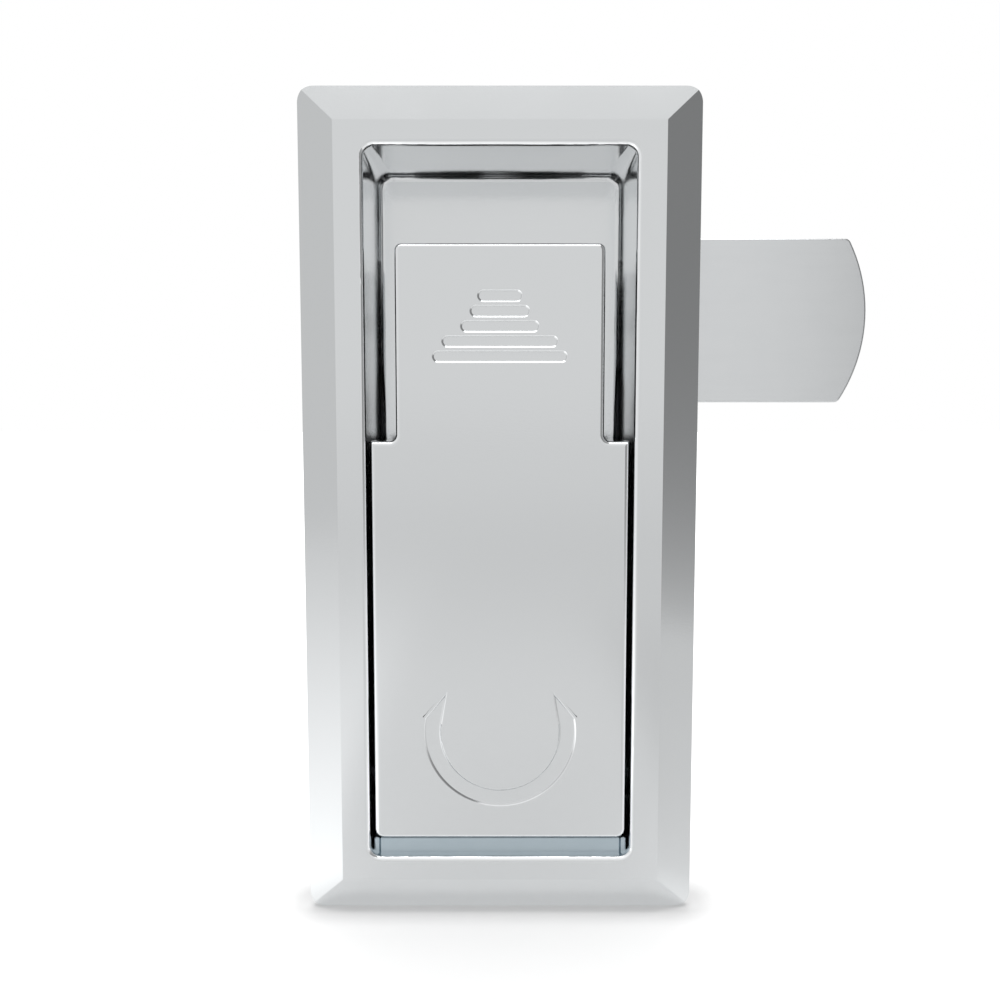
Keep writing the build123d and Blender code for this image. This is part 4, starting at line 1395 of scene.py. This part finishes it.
@dataclass
class BuffedHousing:
    """Housing whose recess is polished nearly square, in millimetres.

    It takes the drafted casting's place.

    Fields:
        half_width: half the recess's width at the front.
        half_height: half its height there.
        corner: radius of its corners.
        front: depth of the bezel's face.
        floor: depth of the recess's floor.
        drafted: slope of the casting's walls.
        buffed: slope of the polished ones.
        mouth: radius of the mouth's rounding.
        rounding: radius of the floor's rounding.
        tighter: share of it that is left.
        margin: how far off the walls a point may lie and still move.
    """

    maker: MeshMaker
    half_width: float = 18.1
    half_height: float = 48.45
    corner: float = 1.4
    front: float = -3.7
    floor: float = 13.4
    drafted: float = math.tan(math.radians(2.6))
    buffed: float = math.tan(math.radians(0.5))
    mouth: float = 0.7
    rounding: float = 1.3
    tighter: float = 0.7
    margin: float = 0.06

    def outwards(self, points: np.ndarray) -> tuple[np.ndarray, np.ndarray]:
        """Finds how far points lie inside the nearest wall, and which way it is.

        Beside a corner's centre the wall is that corner's circle, elsewhere the
        nearer of the two straight walls; both move in with depth by the draft.

        Args:
            points: array of points by three, in millimetres.

        Returns:
            The distances, and unit directions with no depth.
        """
        shrink = self.drafted * (points[:, 1] - self.front)
        half = np.stack([self.half_width - shrink, self.half_height - shrink], -1)
        flat = points[:, [0, 2]]
        past = np.abs(flat) - (half - self.corner)
        reach = np.linalg.norm(past, axis=1)
        in_corner = (past > 0).all(axis=1)
        inside = np.where(in_corner, self.corner - reach, (half - np.abs(flat)).min(axis=1))
        nearer = np.eye(2)[(half - np.abs(flat)).argmin(axis=1)]
        towards = past / np.maximum(reach, MERGE)[:, None]
        way = np.where(in_corner[:, None], towards, nearer) * np.sign(flat)
        return inside, np.stack([way[:, 0], np.zeros(len(way)), way[:, 1]], -1)

    def reshape(self, points: np.ndarray) -> tuple[np.ndarray, np.ndarray]:
        """Moves the recess's walls out to the polished slope and tightens its floor rounding.

        A wall point moves outwards by its depth times the change of slope; a point
        of the rounding first moves towards the sharp corner by the same share in
        depth and in distance. Points off the recess's walls stay.

        Args:
            points: array of points by three, in millimetres.

        Returns:
            The moved points, and each one's outward way times the change of slope.
        """
        inside, way = self.outwards(points)
        above = self.floor - points[:, 1]
        on_wall = (inside > -self.mouth - self.margin) & (inside < self.rounding + self.margin)
        on_wall &= (above > -self.margin) & (points[:, 1] > self.front + self.margin / 10)
        rounded = on_wall & (above < self.rounding + self.margin) & (inside > -self.margin)
        change = (self.drafted - self.buffed) * on_wall
        less = (1 - self.tighter) * rounded
        moved = points + way * (change * (points[:, 1] - self.front) + less * inside)[:, None]
        moved[:, 1] += less * above
        return moved, way * change[:, None]

    def vectors(self, items: Sequence, label: str) -> np.ndarray:
        """Reads one vector of each item.

        Args:
            items: the mesh's items.
            label: the vector's name.

        Returns:
            The vectors, as items by three.
        """
        values = np.empty(len(items) * 3, np.float32)
        items.foreach_get(label, values)
        return values.reshape(-1, 3)

    def build(self, frame: dict) -> bpy.types.Object:
        """Reshapes a merged copy of the housing, and keeps the casting's own normals.

        A sheared wall's normal loses, along the depth, the slope's change times its
        part along the outward way.

        Args:
            frame: what the frame's load call returned.

        Returns:
            The housing, riding on its body.
        """
        mesh = frame["nodes"]["housing"].data.copy()
        moved, lean = self.reshape(self.vectors(mesh.vertices, "co").astype(float) / MM)
        corners = np.empty(len(mesh.loops), np.int32)
        mesh.loops.foreach_get("vertex_index", corners)
        normals = self.vectors(mesh.corner_normals, "vector").astype(float)
        normals[:, 1] -= (normals * lean[corners]).sum(axis=1)
        normals /= np.linalg.norm(normals, axis=1, keepdims=True)
        mesh.vertices.foreach_set("co", (moved * MM).astype(np.float32).ravel())
        kept = mesh.attributes.new("kept_normal", "FLOAT_VECTOR", "CORNER")
        kept.data.foreach_set("vector", normals.astype(np.float32).ravel())
        self.maker.write(self.maker.merge(mesh), mesh)
        kept = mesh.attributes["kept_normal"]
        merged = self.vectors(kept.data, "vector").tolist()
        mesh.attributes.remove(kept)
        mesh.normals_split_custom_set(merged)
        piece = self.maker.place("buffed_housing", mesh, Slot.CHROME)
        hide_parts("housing")
        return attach(piece, Body.HOUSING.value)


@dataclass
class EjectorMarks:
    """Low round marks that a die's ejector pins leave on the unseen sides.

    Fields:
        radius: radius of a mark.
        rise: how far its rim stands up.
        middle: share of that rise that its middle has.
        rim: shares of the radius where the rim begins, and how wide it is.
        flat: share of the radius that is flat.
        sunk: how far it is let into the casting.
        pan: places on the pan's back, as X and Z in millimetres.
        pan_gap: how far that back lies in front of the spring.
        lever: places in the lever's hollows, as X and Z in millimetres.
        hollow: how far the hollows' floor lies behind the bezel's face.
        rim_steps: points across the rim.
        steps: points around a mark.
    """

    maker: MeshMaker
    radius: float = 1.7 * MM
    rise: float = 0.09 * MM
    middle: float = 0.25
    rim: tuple = (0.82, 0.18)
    flat: float = 0.75
    sunk: float = 0.1 * MM
    pan: tuple = ((-12.5, 2.0), (12.5, 2.0), (-12.5, -24.0), (12.5, -24.0), (0.0, -11.0), (0.0, -36.0))
    pan_gap: float = 0.05 * MM
    lever: tuple = ((-9.0, 3.0), (9.0, 3.0), (-10.0, -28.0), (10.0, -28.0))
    hollow: float = 2.6 * MM
    rim_steps: int = 7
    steps: int = 40

    def mark(self, name: str, places: Sequence[tuple[float, float]], level: float,
             own: str = "") -> bpy.types.Object:
        """Makes flat discs with a rounded rim.

        A profile of radius and rise is turned about Y: flat inside, a raised cosine
        for the rim, then down into the casting.

        Args:
            name: the piece's name.
            places: centres as X and Z, in millimetres.
            level: depth of the casting's surface.
            own: the key of the casting's own finish, if it has one.

        Returns:
            The piece.
        """
        share = np.linspace(0.0, 1.0, self.rim_steps)
        inner, width = self.rim
        radii = self.radius * np.concatenate([[self.flat], inner + width * share, [1.0]])[:, None]
        bulge = self.rise * (self.middle + (1 - self.middle) * np.sin(math.pi * share))
        rises = np.concatenate([[self.middle * self.rise], bulge, [-self.sunk]])[:, None]
        angle = np.linspace(0.0, TURN, self.steps, endpoint=False)
        depth = np.broadcast_to(level + rises, (len(radii), self.steps))
        grids = [np.stack([x * MM + radii * np.cos(angle), depth, z * MM + radii * np.sin(angle)], -1)
                 for x, z in places]
        return self.maker.link(name, self.maker.surface(name, grids), Slot.CHROME, own)

    def build(self) -> list[bpy.types.Object]:
        """Makes the marks of the pan and of the lever, each riding on its casting.

        Returns:
            The marks of the pan and of the lever.
        """
        pan_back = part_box("return_spring")[0].y - self.pan_gap
        lever_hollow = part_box("housing")[0].y + self.hollow
        pieces = [self.mark("pan_ejector_marks", self.pan, pan_back),
                  self.mark("lever_ejector_marks", self.lever, lever_hollow, "handle")]
        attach(pieces[0], Body.HOUSING.value)
        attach(pieces[1], Body.HANDLE.value)
        return pieces


@dataclass(frozen=True)
class PhotoCamera:
    """The photograph's viewpoint, in metres and radians.

    Fields:
        height: height of the lens above the cut-out's centre.
        back: distance of the lens in front of the panel's plane.
        pitch: downward tilt of the lens.
        focal_px: focal length in pixels of a frame that is frame_px wide.
        frame_px: width of that frame.
        sensor_mm: width of the sensor.
        near: nearest distance that shows.
        far: farthest one.
    """

    height: float = 0.01389
    back: float = 0.1391
    pitch: float = 0.0900
    focal_px: float = 1004.8
    frame_px: float = 1000.0
    sensor_mm: float = 36.0
    near: float = 0.01
    far: float = 20.0

    def build(self) -> bpy.types.Object:
        """Creates the camera and makes it the scene's own.

        Returns:
            The camera.
        """
        data = bpy.data.cameras.new("photo_camera")
        data.sensor_width = self.sensor_mm
        data.lens = self.focal_px / self.frame_px * self.sensor_mm
        data.clip_start, data.clip_end = self.near, self.far
        camera = bpy.data.objects.new("photo_camera", data)
        camera.location = (0.0, -self.back, self.height)
        camera.rotation_euler = (math.pi / 2 - self.pitch, 0.0, 0.0)
        bpy.context.scene.collection.objects.link(camera)
        bpy.context.scene.camera = camera
        LOG.info("camera: %.1f mm lens", data.lens)
        return camera


@dataclass
class Studio:
    """White sweep, soft light overhead, and two cards that only reflections see.

    Fields:
        fill: strength of the world on plain surfaces.
        lamp_size: length of the overhead light along X and Y.
        lamp_place: where it hangs.
        lamp_power: its power.
        floor_colour: colour of the floor.
        floor_reach: half the floor's width.
        seen_lift: light that the floor adds for the camera, beside the latch and away from it.
        seen_span: distances from the latch of the two.
        far_lift: what is added to it far off, over lift_span.
        foot_light: light that it adds in reflections beside the latch.
        foot_fall: distance in which that falls to about a third.
        lift: light that it adds in reflections, near and far.
        lift_span: distances from the latch of the near and the far one.
        half: half sizes of the latch's front part on the floor.
        dim: light that it takes away again on the right.
        dim_from: between which places that sets in, as X.
        dim_span: distances from the latch between which it ends.
        glow: further light of the floor on the left, beside the latch.
        glow_from: where it sets in, as X.
        glow_centre: where it is strongest, as X and Y.
        glow_fade: distance in which it falls to about a third.
        dark_card: light of the right card high up.
        dark_foot: light that its foot adds.
        foot_fade: height in which that falls to about a third.
        dark_card_x: its place.
        pale_card: light of the left card.
        pale_card_x: its place.
        card_front: where the cards begin, as Y.
        card_rear: where they end.
        card_top: their height.
    """

    fill: float = 0.615
    lamp_size: tuple = (0.6, 0.74)
    lamp_place: tuple = (0.0, 0.232, 0.55)
    lamp_power: float = 3.4
    floor_colour: tuple = (0.86, 0.86, 0.86, 1.0)
    floor_reach: float = 3.0
    seen_lift: tuple = (0.08, 0.3)
    seen_span: tuple = (1.5 * MM, 6.0 * MM)
    far_lift: float = 0.6
    foot_light: float = 0.38
    foot_fall: float = 0.03
    half: tuple = (27.0 * MM, 1.3 * MM)
    lift: tuple = (0.05, 0.38)
    lift_span: tuple = (0.15, 0.9)
    dim: float = 0.17
    dim_from: tuple = (27.0 * MM, 38.0 * MM)
    dim_span: tuple = (0.1, 0.28)
    glow: float = 0.46
    glow_from: tuple = (-24.0 * MM, -36.0 * MM)
    glow_centre: tuple = (-37.0 * MM, -7.0 * MM)
    glow_fade: float = 0.125
    dark_card: float = 0.3
    dark_foot: float = 0.44
    foot_fade: float = 0.03
    dark_card_x: float = 0.19
    pale_card: float = 0.82
    pale_card_x: float = -0.4
    card_front: float = -0.3
    card_rear: float = 0.6
    card_top: float = 0.5

    def rays(self, graph: Graph) -> tuple[Value, Value]:
        """Tells camera rays and mirror-like rays from the others.

        Args:
            graph: the material's or the world's graph.

        Returns:
            1 for camera rays, and 1 for mirror-like and transmitted ones.
        """
        path = graph.add("ShaderNodeLightPath").outputs
        camera, glossy, passed = (Value(graph, path[f"Is {kind} Ray"])
                                  for kind in ("Camera", "Glossy", "Transmission"))
        return camera, glossy.math("MAXIMUM", passed)

    def world(self) -> None:
        """Makes a white world, dimmer for the light that it sheds on plain surfaces."""
        world = bpy.data.worlds.new("white_studio")
        world.use_nodes = True
        world.node_tree.nodes.clear()
        graph = Graph(world.node_tree)
        camera, mirror = self.rays(graph)
        strength = camera.math("MAXIMUM", mirror).ramp(0.0, 1.0, self.fill, 1.0)
        white = {"Color": (1.0, 1.0, 1.0, 1.0), "Strength": strength}
        background = graph.value("ShaderNodeBackground", white)
        graph.add("ShaderNodeOutputWorld", {"Surface": background})
        bpy.context.scene.world = world

    def sheet(self, name: str,
              corners: Sequence[tuple[float, float, float]]) -> tuple[bpy.types.Object, Graph]:
        """Makes a flat stage piece with an empty material.

        Args:
            name: its name.
            corners: its corners in order.

        Returns:
            The piece, and the graph of its material.
        """
        mesh = bpy.data.meshes.new(name)
        mesh.from_pydata(list(corners), [], [tuple(range(len(corners)))])
        material = bpy.data.materials.new(name)
        material.use_nodes = True
        material.node_tree.nodes.clear()
        material.cycles.emission_sampling = "NONE"
        mesh.materials.append(material)
        piece = bpy.data.objects.new(name, mesh)
        bpy.context.scene.collection.objects.link(piece)
        piece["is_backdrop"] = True
        return piece, Graph(material.node_tree)

    def away(self, graph: Graph, centre: Sequence[float], half: Sequence[float]) -> Value:
        """Measures how far a point is from a rectangle on the floor.

        Args:
            graph: the floor's graph.
            centre: the rectangle's centre, as X and Y.
            half: half its sizes.

        Returns:
            The distance along the floor.
        """
        squares = [(abs(part - own) - less).math("MAXIMUM", 0.0).math("POWER", 2.0)
                   for part, own, less in zip(graph.parts(), centre, half)]
        return (squares[0] + squares[1]).math("SQRT")

    def floor(self, level: float) -> bpy.types.Object:
        """Makes the floor, which keeps the latch's shadow and stays white elsewhere.

        Args:
            level: height of the latch's lowest edge.

        Returns:
            The floor.
        """
        reach = self.floor_reach
        floor, graph = self.sheet("studio_floor", [(-reach, -reach, level), (reach, -reach, level),
                                                   (reach, reach, level), (-reach, reach, level)])
        x = graph.parts()[0]
        away = self.away(graph, (0.0, 0.0), self.half)
        near = self.away(graph, self.glow_centre, (0.0, 0.0)).fade(self.glow_fade)
        lift = away.ramp(*self.lift_span, *self.lift, smooth=True)
        lift = lift + away.fade(self.foot_fall) * self.foot_light
        dim = x.ramp(*self.dim_from, 0.0, self.dim, smooth=True)
        dim = dim * away.ramp(*self.dim_span, 1.0, 0.0, smooth=True)
        glow = x.ramp(*self.glow_from, 0.0, self.glow, smooth=True) * near
        seen = away.ramp(*self.seen_span, *self.seen_lift)
        seen = seen + away.ramp(*self.lift_span, 0.0, self.far_lift)
        camera, mirror = self.rays(graph)
        strength = camera * seen + (lift - dim + glow) * mirror
        light = graph.value("ShaderNodeEmission", {"Strength": strength})
        paper = graph.value("ShaderNodeBsdfDiffuse", {"Color": self.floor_colour})
        both = graph.value("ShaderNodeAddShader", {0: paper, 1: light})
        graph.add("ShaderNodeOutputMaterial", {"Surface": both})
        return floor

    def card(self, name: str, x: float, level: float, light: float, foot: float) -> bpy.types.Object:
        """Makes a card that stands beside the latch and shows only in reflections.

        Args:
            name: its name.
            x: its place.
            level: height of the floor.
            light: its light high up.
            foot: light that fades upwards from its foot.

        Returns:
            The card.
        """
        front, rear, top = self.card_front, self.card_rear, self.card_top
        corners = [(x, front, level), (x, rear, level), (x, rear, top), (x, front, top)]
        card, graph = self.sheet(name, corners)
        strength = (graph.parts()[2] - level).fade(self.foot_fade) * foot + light
        light = graph.value("ShaderNodeEmission", {"Strength": strength})
        graph.add("ShaderNodeOutputMaterial", {"Surface": light})
        card.visible_camera = False
        card.visible_diffuse = False
        card.visible_shadow = False
        return card

    def lamp(self) -> bpy.types.Object:
        """Hangs the soft light over the latch.

        Returns:
            The light.
        """
        data = bpy.data.lights.new("overhead_softbox", "AREA")
        data.shape = "RECTANGLE"
        data.size, data.size_y = self.lamp_size
        data.energy = self.lamp_power
        lamp = bpy.data.objects.new("overhead_softbox", data)
        lamp.location = self.lamp_place
        bpy.context.scene.collection.objects.link(lamp)
        return lamp

    def build(self, level: float) -> None:
        """Sets up the whole studio on a floor at the latch's lowest edge.

        Args:
            level: height of the latch's lowest edge.
        """
        self.world()
        self.floor(level)
        self.card("dark_card", self.dark_card_x, level, self.dark_card, self.dark_foot)
        self.card("pale_card", self.pale_card_x, level, self.pale_card, 0.0)
        self.lamp()
        bpy.context.scene.view_settings.view_transform = "Standard"
        LOG.info("studio: floor at %.1f mm", level / MM)


def main() -> None:
    """Builds the camera, the finishes, the new pieces and the studio, in that order."""
    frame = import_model()
    cad_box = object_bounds()
    PhotoCamera().build()
    finishes = FinishSet()
    finishes.dress_frame(frame)
    maker = MeshMaker(finishes)
    ReturnSpring(maker).build()
    SpindleEnd(maker).build(frame)
    SplitWasher(maker).build()
    BezelGasket(maker).build()
    LeverMarks(maker).build()
    FootSill(maker).build()
    BuffedHousing(maker).build(frame)
    EjectorMarks(maker).build()
    Studio().build(cad_box[0].z)


if __name__ == "__main__":
    logging.basicConfig(level=logging.INFO, format="%(name)s: %(message)s")
    main()
